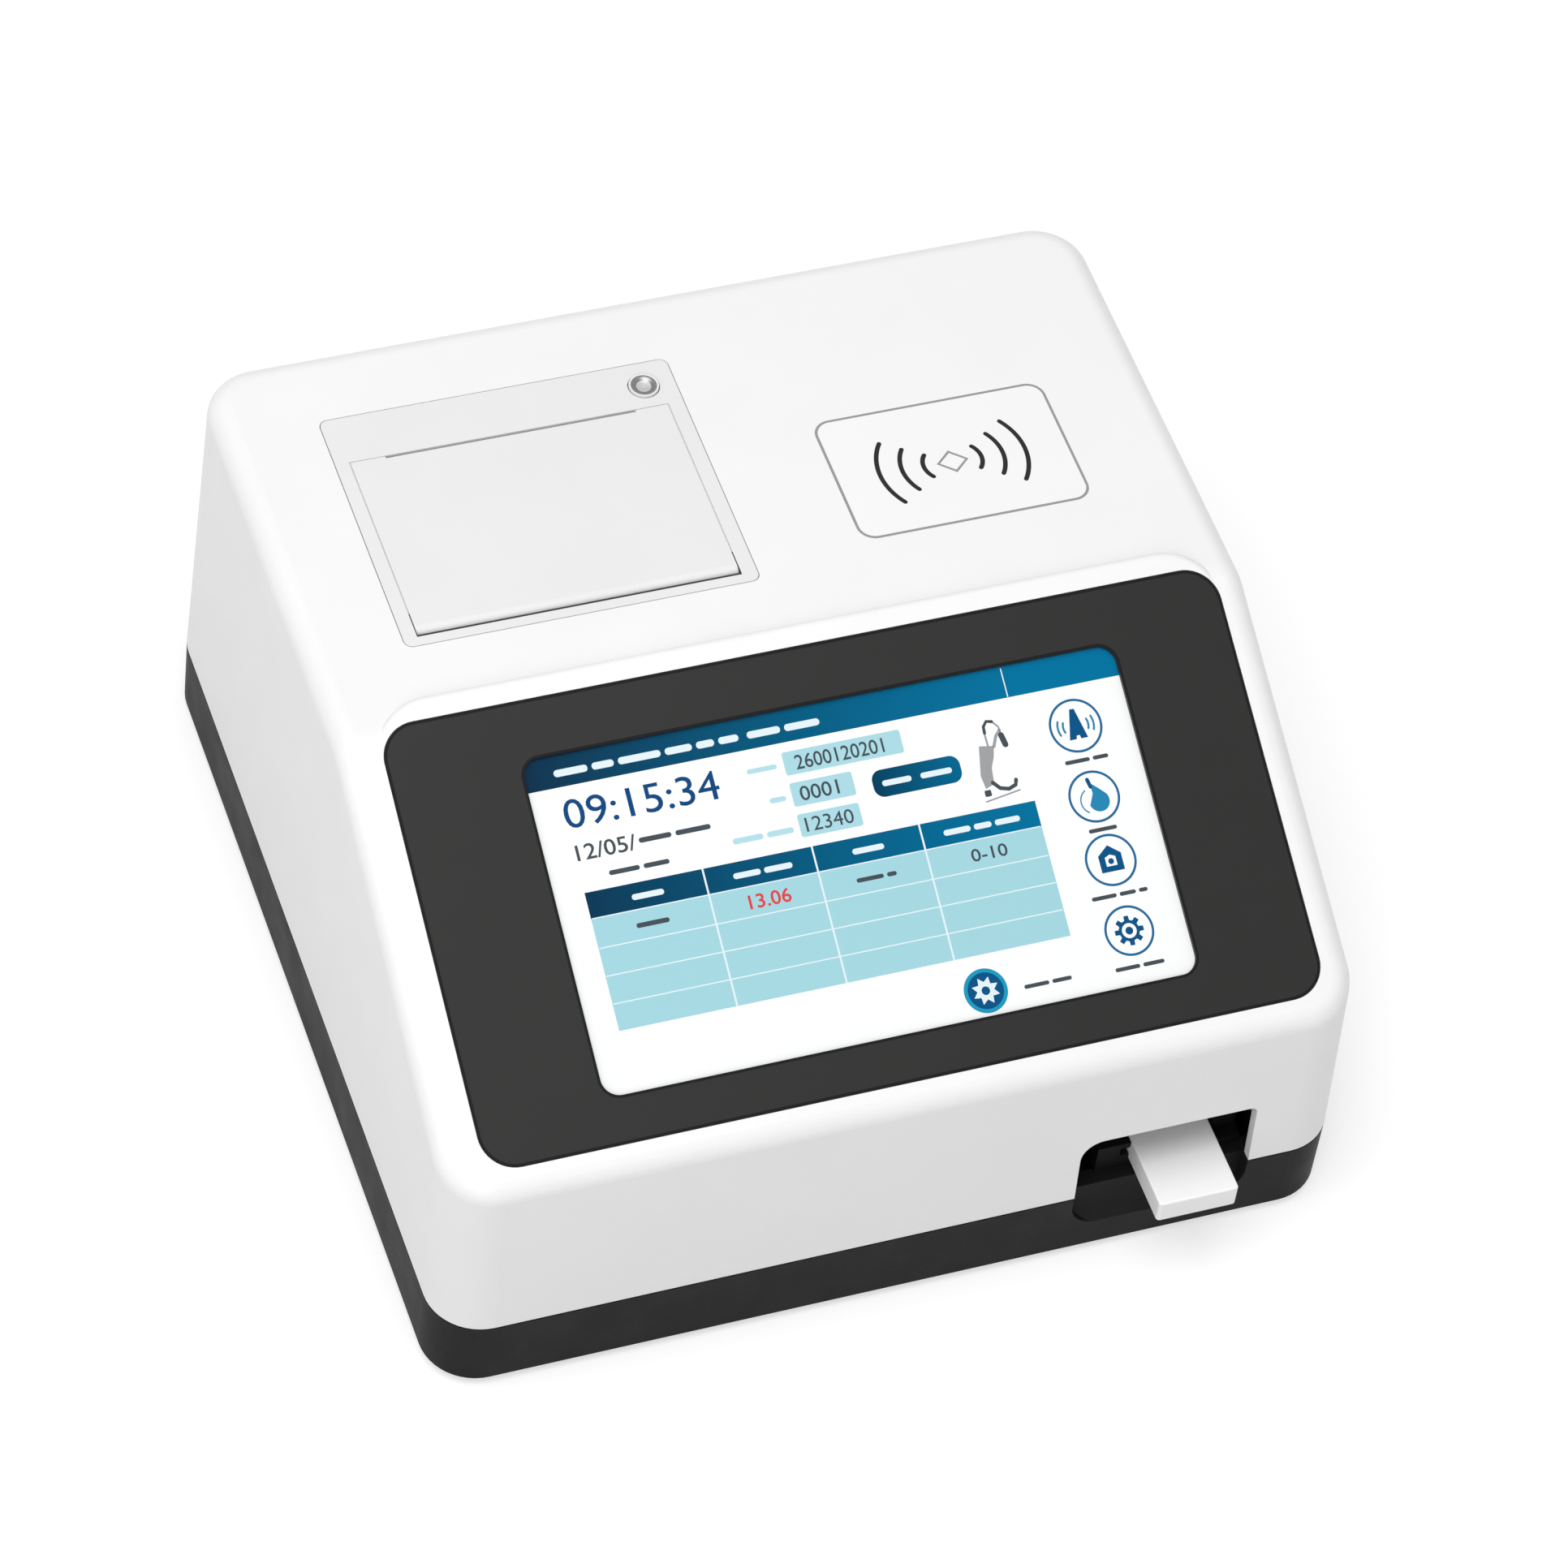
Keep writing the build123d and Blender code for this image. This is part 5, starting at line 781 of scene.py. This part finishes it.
def draw_pictogram(picture):
    """Little device drawn in the picture."""
    body = [(113.1, -29.4), (115.5, -28.6), (115.9, -24.5), (117.1, -22.0), (117.9, -19.2)]
    shapes = [
        body + [(114.1, -18.6), (112.6, -26.0)],
        stroke([(116.4, -18.9), (116.3, -15.2)], 0.5),
        stroke([(117.9, -19.3), (119.0, -16.9), (120.3, -15.6)], 0.8),
        stroke([(118.9, -13.1), (120.2, -14.6), (120.4, -16.4)], 0.5),
        stroke([(112.4, -32.6), (121.5, -31.3)], 0.4),
    ]
    picture.plates("device_pictogram_light", shapes, DRAWN, "steel")
    shapes = [
        stroke([(116.4, -15.6), (116.5, -14.0), (117.5, -12.8), (118.9, -13.1)], 0.8),
        stroke([(120.4, -16.9), (120.9, -19.4)], 1.5),
        stroke([(115.2, -28.2), (116.7, -29.9), (118.9, -30.5), (120.8, -29.8), (121.2, -28.6)], 1.0),
        rounded_box(112.5, -31.4, 114.2, -29.8, 0.3, 3),
    ]
    picture.plates("device_pictogram_dark", shapes, RAISED, "ink")


def draw_table(picture):
    """Result table of the picture."""
    left, bottom, right, top = TABLE
    picture.plates("table_cells", [rounded_box(left, bottom, right, TABLE_HEAD)], DRAWN, "cells")
    picture.plates("table_head", [rounded_box(left, TABLE_HEAD, right, top)], DRAWN, "bar")
    rules = [rounded_box(x - 0.24, bottom, x + 0.24, top) for x in TABLE_COLUMNS]
    for start, end in zip((left, *TABLE_COLUMNS), (*TABLE_COLUMNS, right)):
        for y in (TABLE_HEAD, *TABLE_ROWS):
            rules.append(rounded_box(start + 0.25, y - 0.15, end - 0.25, y + 0.15))
    picture.plates("table_rules", rules, RULED, "pale")
    picture.plates("table_head_words", word_bars(HEAD_WORDS), ON_TOP, "pale")
    picture.figures("table_entries", RANGE_FIGURES, ON_TOP, "ink", word_bars(CELL_WORDS, SMALL_WEIGHT))
    picture.figures("table_result", RESULT_FIGURES, ON_TOP, "alarm")


def draw_icons(picture):
    """Ringed icons down the right of the picture, and the filled icon at its foot."""
    rings = [(disc(x, y, radius), disc(x, y, radius - RING_LINE)) for x, y, radius in ICONS]
    picture.plates("icon_rings", [], DRAWN, "ring", rings)
    device, flask, house, gear = [icon[:2] for icon in ICONS]
    mast = [(-2.4, -3.4), (-0.6, -3.4), (-0.4, -2.5), (0.4, -2.5), (0.6, -3.4), (2.4, -3.4)]
    wall = [(-3.0, -2.9), (3.0, -2.9), (3.0, 1.4), (0.0, 3.8), (-3.0, 1.4)]
    room = [(-1.4, -1.5), (1.4, -1.5), (1.4, 0.8), (0.0, 1.4), (-1.4, 0.8)]
    tooth = ((-14, 2.7), (-9, 3.8), (9, 3.8), (14, 2.7))
    teeth = polar(*gear, [(45 * count + turn, reach) for count in range(8) for turn, reach in tooth])
    shapes = [
        moved(mast + [(0.6, 4.3), (-0.6, 4.3)], *device),
        stroke(moved([(-0.3, 2.6), (-0.7, 4.5)], *flask), 1.0),
        disc(*gear, 1.0, 20),
        disc(house[0], house[1] - 0.3, 0.75, 20),
    ]
    pairs = [(moved(wall, *house), moved(room, *house)), (teeth, disc(*gear, 1.9, len(teeth)))]
    picture.plates("icon_shapes", shapes, DRAWN, "icon", pairs)
    beams = [(turn, reach) for turn in (158, -22) for reach in (3.3, 4.7)]
    soft = [stroke(arc(*device, reach, turn, turn + 44, 8), 0.55) for turn, reach in beams]
    drop = arc(flask[0] + 1.0, flask[1] - 1.3, 2.7, 196, 395, 20)
    soft.append(drop + moved([(1.6, 1.9), (-0.3, 3.6), (-0.2, 0.8)], *flask))
    soft.append(stroke(arc(flask[0] - 0.4, flask[1] - 1.0, 3.3, 120, 235, 16), 0.35))
    picture.plates("icon_soft_shapes", soft, DRAWN, "soft_icon")
    picture.plates("icon_words", word_bars(ICON_WORDS, SMALL_WEIGHT), DRAWN, "ink")
    x, y, radius = ROUND_ICON
    filled = disc(x, y, radius - 1.0, 64)
    picture.plates("round_icon_rim", [], DRAWN, "round", [(disc(x, y, radius, 64), filled)])
    picture.plates("round_icon", [filled], DRAWN, "icon")
    star = polar(x, y, [(22.5 * count, 3.6 if count % 2 else 2.2) for count in range(16)])
    picture.plates("round_icon_star", [], ON_TOP, "pale", [(star, disc(x, y, 1.1, 16))])


# Other pieces


def paint_surround_shade_lines(colours, sizes):
    """Painted shade: dark lines round the window, standing in for the shade where the picture lies below the
    surround, and a darker band along the surround's outer edge.
    """
    low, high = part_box("screen_surround")
    wide = (high.x - low.x) / MM
    width, tall = WINDOW_SIZE
    start = width / 2 - WINDOW_SHIFT - wide / 2
    near = -tall / 2 - WINDOW_RISE
    line = sizes.shade_line_width / MM
    pairs = []
    for (left, low, right, high), corner, insets in (
        ((start, near, start + wide, near + SURROUND_LENGTH), SURROUND_CORNER, (0.04, line)),
        ((0, -tall, width, 0), WINDOW_CORNER, (-line, -0.02)),
    ):
        boxes = [(left + by, low + by, right - by, high - by, corner - by) for by in insets]
        pairs.append([rounded_box(*box, 12) for box in boxes])
    # Painted shade: near-black lines laid on the surround
    black = moulded("surround_shade_line", colours.surround_shade_line, 0.45, 0.55, 0.3, 2e-6, Specular_IOR_Level=0.12)
    low, high = SURROUND_THICK - 0.02, SURROUND_THICK + sizes.film_ink / MM
    add_plates("surround_shade_lines", [], low, high, black, "housing", screen_place(), pairs)


def print_reader(colours, sizes):
    """Outline, diamond and waves printed on the reader's film."""
    low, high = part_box("reader_overlay")
    place = top_of("reader_overlay")
    wide, deep = (high.x - low.x) / MM / 2, (high.y - low.y) / MM / 2
    ink = sizes.film_ink / MM
    line = sizes.outline_width / MM
    faint = moulded("reader_faint", colours.faint_mark, 0.35, 0.45, 0.3, 2e-6)
    dark = moulded("reader_mark", colours.mark, 0.35, 0.45, 0.3, 2e-6)
    corner = 4.6
    outer = rounded_box(-wide, -deep, wide, deep, corner, 10)
    inner = rounded_box(line - wide, line - deep, wide - line, deep - line, corner - line, 10)
    across, up, inset = 4.25, 3.75, 0.84
    shift = (0.05, -0.45)
    diamond = [(across, 0), (0, up), (-across, 0), (0, -up)]
    hollow = [(x * (1 - inset / across), y * (1 - inset / up)) for x, y in diamond]
    pairs = [(outer, inner), (moved(diamond, *shift), moved(hollow, *shift))]
    add_plates("reader_outline", [], -0.01, ink, faint, "housing", place, pairs)
    waves = []
    for reach, radius, tall in ((7.75, 5.7, 3.7), (13.5, 12.1, 6.9), (19.5, 17.3, 10.1)):
        turn = degrees(asin(tall / radius))
        for side, centre in ((0, reach - radius), (180, radius - reach)):
            bow = arc(centre + shift[0], shift[1], radius, side - turn, side + turn, 24)
            waves.append(stroke(bow, sizes.wave_width / MM))
    add_plates("reader_waves", waves, -0.01, ink, dark, "housing", place)


def fit_button_ring():
    """Silver ring and cup set in the dish of the release button."""
    ring = [(2.0, -0.7), (1.95, -0.52), (2.2, -0.36), (2.75, -0.08), (3.15, 0.0), (3.42, -0.08), (3.42, -0.3)]
    ball = 8.0
    cup = [(r, -0.78 + ball - sqrt(ball * ball - r * r)) for r in (2.08, 1.6, 1.1, 0.6, 0.15)]
    steel = metal("button_steel", (0.4, 0.4, 0.4), 0.3, 0.4, (1, 1, 1), 1.0, 1e-6)
    bright = metal("button_bright", (0.93, 0.93, 0.93), 0.34, 0.44, (1, 1, 1), 1.0, 1e-6)
    for name, profile, material in (
        ("button_ring", ring, steel),
        ("button_cup", cup + [(0.15, -0.9), (2.08, -0.6)], bright),
    ):
        mesh = bmesh.new()
        turned(mesh, profile)
        add_piece(name, mesh, material, "button", top_of("release_button"), smooth=True)


def wind_button_spring():
    """The button's spring as a piece of its own on the housing, in place of the imported part."""
    data = frame["nodes"]["button_spring"].data
    mesh = bmesh.new()
    mesh.from_mesh(data)
    spring = add_piece("button_coil", mesh, data.materials[0], "housing", None, smooth=True)
    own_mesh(spring)
    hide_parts("button_spring")


def paint_door_gap_light_and_shade():
    """Painted shade and light in the gap round the printer door: thin dark strips at the hinge side stand in
    for the gap's shadow, thin pale strips elsewhere lighten the gap's shade.
    """
    low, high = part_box("printer_door")
    left, near, right, far = low.x / MM, low.y / MM, high.x / MM, high.y / MM
    paper_low, paper_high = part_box("paper_roll")
    slot_left, slot_right = paper_low.x / MM - 4.0, paper_high.x / MM + 4.0
    place = Matrix.Translation((0, 0, high.z))
    side, inner = 0.26, 0.04
    bend = near + 7.0
    # Painted shade: dark strips where the gap at the hinge side falls in shadow
    dark = moulded("door_gap_painted_shade", (0.05, 0.05, 0.05), 0.6, 0.7, Specular_IOR_Level=0.2)
    # Painted light: pale strips that lighten the shade in the side and rear gaps
    pale = moulded("door_gap_painted_light", (0.66, 0.66, 0.66), 0.5, 0.6)
    hinge_side = [
        (left - side, near - 0.64, right + side, near - 0.08),
        (left - side, near - 0.06, left - inner, bend),
        (right + inner, near - 0.06, right + side, bend),
    ]
    elsewhere = [
        (left - side, bend + 0.02, left - inner, far + 0.02),
        (right + inner, bend + 0.02, right + side, far + 0.02),
        (left - side, far + inner, slot_left, far + 0.21),
        (slot_right, far + inner, right + side, far + 0.21),
    ]
    for name, boxes, high, material, slot in (
        ("door_gap_painted_shade", hinge_side, -0.08, dark, "platen_rubber"),
        ("door_gap_painted_light", elsewhere, -0.1, pale, "printer_white"),
    ):
        strips = [rounded_box(*box) for box in boxes]
        add_plates(name, strips, -1.2, high, material, "housing", place)


def fit_data_ports(gold):
    """Tongues and contacts of the two flat data ports."""
    low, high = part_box("usb_ports")
    port_width = 13.1
    aside = (high.x - low.x) / MM / 2 - port_width / 2
    tongue = moulded("socket_tongue", (0.03, 0.03, 0.032), 0.4, 0.5)
    contacts = [rounded_box(x - 0.5, -0.1, x + 0.5, 0.05, 0.05, 2) for x in (-3.5, -1.0, 1.0, 3.5)]
    for name, outlines, near, far, material, slot in (
        ("usb_tongues", [rounded_box(-5.3, 0, 5.3, 1.8, 0.3, 3)], 1.0, 12.0, tongue, "chip_black"),
        ("usb_contacts", contacts, 1.5, 10.0, gold, "socket_metal"),
    ):
        mesh = bmesh.new()
        for shift in (-aside, aside):
            for outline in outlines:
                slab(mesh, moved(outline, shift, 0), near, far)
        mesh.transform(rear_of("usb_ports"))
        add_piece(name, mesh, material, "housing", None)


def fit_sockets():
    """Tongues, contacts and lamps in the rear sockets, and the pin of the power inlet."""
    gold = metal("contact_gold", (0.83, 0.6, 0.26), 0.18, 0.3, (1, 0.05, 1))
    fit_data_ports(gold)
    place = rear_of("network_port")
    pitch = 1.02
    middles = [(count - 3.5) * pitch for count in range(8)]
    pins = [stroke([(x, 2.4), (x, 4.2)], 0.35, 3) for x in middles]
    add_plates("network_contacts", pins, 2.0, 10.0, gold, "housing", place)
    shade = moulded("socket_lining", (0.02, 0.02, 0.021), 0.45, 0.55)
    lining = [(rounded_box(-5.9, -4.3, 5.9, 4.3, 0.3, 4), rounded_box(-5.5, -3.9, 5.5, 3.9, 0.3, 4))]
    add_plates("network_lining", [], 0.2, 12.0, shade, "housing", place, lining)
    for name, x, tint in (("link_lamp", -6.6, (0.12, 0.55, 0.12)), ("data_lamp", 6.6, (0.8, 0.42, 0.05))):
        window = rounded_box(x - 0.8, 3.4, x + 0.8, 5.4, 0.25, 4)
        add_plates(name, [window], -0.12, 0.3, moulded(name, tint, 0.2, 0.3), "housing", place)
    mesh = bmesh.new()
    turned(mesh, [(0.1, 0.6), (0.62, 0.7), (0.95, 1.1), (1.0, 1.6), (1.0, 9.6), (0.1, 9.6)], 32)
    steel = bpy.data.materials["shaft_steel"]
    add_piece("inlet_pin", mesh, steel, "housing", rear_of("dc_inlet"), smooth=True)


def facet_half(node, side):
    """Middle and normal of the rearward face of one half of the rocker."""
    middle = middle_of(node).z
    total, spot, normal = 0.0, Vector(), Vector()
    for polygon in frame["nodes"][node].data.polygons:
        if polygon.normal.y > 0.9 and (polygon.center.z - middle) * side > 0.5 * MM:
            total += polygon.area
            spot += polygon.center * polygon.area
            normal += polygon.normal * polygon.area
    if not total:
        raise RuntimeError("the rocker has no rearward face on that half")
    return spot / total, normal.normalized()


def mark_switch():
    """Bar and ring on the two halves of the power switch."""
    pale = moulded("switch_mark", (0.8, 0.8, 0.8), 0.4, 0.5)
    bar = [rounded_box(-0.35, -1.6, 0.35, 1.6, 0.2, 3)]
    ring = [(disc(0, 0, 1.7, 40), disc(0, 0, 1.15, 40))]
    for name, side, outlines, hoops in (("switch_bar", 1, bar, ()), ("switch_circle", -1, [], ring)):
        spot, normal = facet_half("rocker_switch", side)
        up = (Vector((0, 0, 1)) - normal * normal.z).normalized()
        turn = Matrix((up.cross(normal), up, normal)).transposed().to_4x4()
        place = Matrix.Translation(spot) @ turn
        add_plates(name, outlines, -0.02, 0.05, pale, "rocker", place, hoops=hoops)


def feed_paper(sizes):
    """Paper that leaves the roll and runs up behind the roller to the slot."""
    thick = sizes.paper / MM
    path = []
    for node, gap, turns in (
        ("paper_roll", thick, range(-75, -34, 5)),
        ("platen_roller", 0.2 + thick / 2, range(-55, 11, 5)),
    ):
        low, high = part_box(node)
        middle = middle_of(node) / MM
        reach = (high.y - low.y) / MM / 2 + gap
        path += polar(middle.y, middle.z, [(turn, reach) for turn in turns])
    low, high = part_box("paper_roll")
    margin = 0.4
    mesh = bmesh.new()
    slab(mesh, stroke(path, thick, 2), low.x / MM + margin, high.x / MM - margin)
    mesh.transform(Matrix(((0, 0, 1, 0), (1, 0, 0, 0), (0, 1, 0, 0), (0, 0, 0, 1))))
    paper = moulded("paper_strip", (0.9, 0.9, 0.88), 0.5, 0.62, 0.3, 6e-6)
    add_piece("paper_strip", mesh, paper, "housing", None, smooth=True)


# Stage

# Each lamp's place and diameter in metres and its power in watts

LAMPS = (
    ("softbox_top", (-0.3, -0.15, 1.5), 1.3, 10.8),
    ("softbox_front", (-0.7, -1.5, 1.1), 1.2, 7.6),
    ("softbox_left", (-1.6, -0.2, 0.9), 1.0, 2.8),
)
LAMP_TARGET = (0, 0, 0.06)

# The camera's turn, height and roll in degrees, and its target and distance in millimetres

CAMERA_ANGLES = (-25.364, 50.202, 8.566)
CAMERA_TARGET = (8.674, 9.422, 52.5)
CAMERA_DISTANCE = 1747.0


def lay_floor(sizes):
    """Pale floor that looks plain to the camera and is clear from below."""
    mesh = bmesh.new()
    mesh.faces.new(add_loop(mesh, [(x, y, 0) for x, y in disc(0, 0, sizes.floor_radius / MM, 96)]))
    data = bpy.data.meshes.new("floor")
    mesh.to_mesh(data)
    mesh.free()
    floor = bpy.data.objects.new("floor", data)
    bpy.context.scene.collection.objects.link(floor)
    material = bpy.data.materials.new("pale_floor")
    nodes = emptied(material)
    gloss = nodes.effect("moulded_grain", Size=0.004, Low=0.85, High=0.95)["Roughness"]
    surface = nodes.add("BsdfDiffuse", {"Color": (0.62, 0.62, 0.62), "Roughness": gloss})
    ray = nodes.add("LightPath").outputs
    plain = nodes.maths("MAXIMUM", ray["Is Camera Ray"], ray["Is Glossy Ray"])
    plain = nodes.maths("MAXIMUM", plain, ray["Is Transmission Ray"])
    glow = nodes.add("Emission", {"Color": WHITE, "Strength": nodes.maths("MULTIPLY", plain, 0.5)})
    both = nodes.add("AddShader", {0: surface.outputs[0], 1: glow.outputs[0]})
    through = nodes.add("BsdfTransparent")
    behind = nodes.add("NewGeometry").outputs["Backfacing"]
    mixed = nodes.add("MixShader", {0: behind, 1: both.outputs[0], 2: through.outputs[0]})
    nodes.add("OutputMaterial", {"Surface": mixed.outputs[0]})
    data.materials.append(material)


def light_stage():
    """Plain white surroundings and soft lamps."""
    scene = bpy.context.scene
    world = bpy.data.worlds.new("studio")
    scene.world = world
    nodes = emptied(world)
    ray = nodes.add("LightPath").outputs
    plain = nodes.maths("MAXIMUM", ray["Is Camera Ray"], ray["Is Transmission Ray"])
    back = nodes.add("Background", {"Color": WHITE, "Strength": nodes.between(plain, 0.55, 1.0)})
    nodes.add("OutputWorld", {"Surface": back.outputs[0]})
    for name, spot, wide, power in LAMPS:
        lamp = bpy.data.lights.new(name, "AREA")
        lamp.shape = "DISK"
        lamp.size = wide
        lamp.energy = power
        holder = bpy.data.objects.new(name, lamp)
        holder.location = spot
        holder.rotation_euler = (Vector(LAMP_TARGET) - Vector(spot)).to_track_quat("-Z", "Y").to_euler()
        scene.collection.objects.link(holder)


def set_camera(sizes):
    """Camera where the photograph was taken from."""
    scene = bpy.context.scene
    around, height, roll = [radians(angle) for angle in CAMERA_ANGLES]
    back = Vector((sin(around) * cos(height), -cos(around) * cos(height), sin(height)))
    right = Vector((cos(around), sin(around), 0))
    up = back.cross(right)
    tilted = (cos(roll) * right + sin(roll) * up, cos(roll) * up - sin(roll) * right, back)
    lens = bpy.data.cameras.new("camera")
    lens.sensor_width = 36.0
    lens.lens = sizes.lens
    lens.clip_start, lens.clip_end = 0.05, 50.0
    camera = bpy.data.objects.new("camera", lens)
    place = Matrix(tilted).transposed().to_4x4()
    place.translation = (Vector(CAMERA_TARGET) + back * CAMERA_DISTANCE) * MM
    camera.matrix_world = place
    scene.collection.objects.link(camera)
    scene.camera = camera
    scene.view_settings.view_transform = "Standard"


# Operators and panel


def settings(context):
    """Colours and sizes that the user has set."""
    return context.scene.analyzer_colours, context.scene.analyzer_sizes


class DressParts(bpy.types.Operator):
    """Give every part a material for its finish"""

    bl_idname = "analyzer.dress_parts"
    bl_label = "Dress the parts"

    def execute(self, context):
        build_effects()
        finishes = build_finishes(context.scene.analyzer_colours)
        for subpart in frame["record"]["subparts"]:
            materials = frame["nodes"][subpart["node"]].data.materials
            materials.clear()
            materials.append(finishes[subpart["material_slot"]])
        return {"FINISHED"}


class DrawPicture(bpy.types.Operator):
    """Draw the picture on the screen"""

    bl_idname = "analyzer.draw_picture"
    bl_label = "Draw the screen picture"

    def execute(self, context):
        picture = Picture(*settings(context))
        for draw in (draw_ground, draw_header, draw_pictogram, draw_table, draw_icons):
            draw(picture)
        return {"FINISHED"}


class PrintReader(bpy.types.Operator):
    """Print the mark on the contactless reader"""

    bl_idname = "analyzer.print_reader"
    bl_label = "Print the reader mark"

    def execute(self, context):
        print_reader(*settings(context))
        return {"FINISHED"}


class PaintSurroundShadeLines(bpy.types.Operator):
    """Paint dark shade lines round the screen window and along the edge of the surround"""

    bl_idname = "analyzer.line_surround"
    bl_label = "Line the screen surround"

    def execute(self, context):
        paint_surround_shade_lines(*settings(context))
        return {"FINISHED"}


class FitButton(bpy.types.Operator):
    """Set the silver ring in the printer's release button"""

    bl_idname = "analyzer.fit_button"
    bl_label = "Fit the button ring"

    def execute(self, context):
        fit_button_ring()
        return {"FINISHED"}


class WindButtonSpring(bpy.types.Operator):
    """Copy the button's spring into a piece of its own on the housing"""

    bl_idname = "analyzer.wind_button_spring"
    bl_label = "Wind the button spring"

    def execute(self, context):
        wind_button_spring()
        return {"FINISHED"}


class PaintDoorGapLightAndShade(bpy.types.Operator):
    """Paint shade and light into the gap round the printer door"""

    bl_idname = "analyzer.line_door_gap"
    bl_label = "Line the door gap"

    def execute(self, context):
        paint_door_gap_light_and_shade()
        return {"FINISHED"}


class FitSockets(bpy.types.Operator):
    """Fit tongues, contacts and lamps in the rear sockets"""

    bl_idname = "analyzer.fit_sockets"
    bl_label = "Fit the rear sockets"

    def execute(self, context):
        fit_sockets()
        return {"FINISHED"}


class MarkSwitch(bpy.types.Operator):
    """Print the bar and the ring on the power switch"""

    bl_idname = "analyzer.mark_switch"
    bl_label = "Mark the switch"

    def execute(self, context):
        mark_switch()
        return {"FINISHED"}


class FeedPaper(bpy.types.Operator):
    """Lead the paper from its roll to the slot"""

    bl_idname = "analyzer.feed_paper"
    bl_label = "Feed the paper"

    def execute(self, context):
        feed_paper(context.scene.analyzer_sizes)
        return {"FINISHED"}


class BuildStage(bpy.types.Operator):
    """Set up the floor, the lamps and the camera"""

    bl_idname = "analyzer.build_stage"
    bl_label = "Build the stage"

    def execute(self, context):
        sizes = context.scene.analyzer_sizes
        lay_floor(sizes)
        light_stage()
        set_camera(sizes)
        return {"FINISHED"}


OPERATORS = (
    DressParts,
    DrawPicture,
    PaintSurroundShadeLines,
    PrintReader,
    FitButton,
    WindButtonSpring,
    PaintDoorGapLightAndShade,
    FitSockets,
    MarkSwitch,
    FeedPaper,
    BuildStage,
)


class AnalyzerPanel(bpy.types.Panel):
    """Lists the analyzer's operators, sizes and colours."""

    bl_idname = "VIEW3D_PT_analyzer"
    bl_label = "Analyzer"
    bl_space_type = "VIEW_3D"
    bl_region_type = "UI"
    bl_category = "Analyzer"

    def draw(self, context):
        for operator in OPERATORS:
            self.layout.operator(operator.bl_idname)
        for group in (context.scene.analyzer_sizes, context.scene.analyzer_colours):
            for key in group.bl_rna.properties.keys():
                if key not in ("rna_type", "name"):
                    self.layout.prop(group, key)


CLASSES = (AnalyzerColours, AnalyzerSizes, *OPERATORS, AnalyzerPanel)


def register():
    for each in CLASSES:
        bpy.utils.register_class(each)
    bpy.types.Scene.analyzer_colours = PointerProperty(type=AnalyzerColours)
    bpy.types.Scene.analyzer_sizes = PointerProperty(type=AnalyzerSizes)


def unregister():
    del bpy.types.Scene.analyzer_sizes
    del bpy.types.Scene.analyzer_colours
    for each in reversed(CLASSES):
        bpy.utils.unregister_class(each)


def main():
    """Registers the add-on and builds everything."""
    register()
    for operator in OPERATORS:
        group, name = operator.bl_idname.split(".")
        getattr(getattr(bpy.ops, group), name)()


if __name__ == "__main__":
    main()
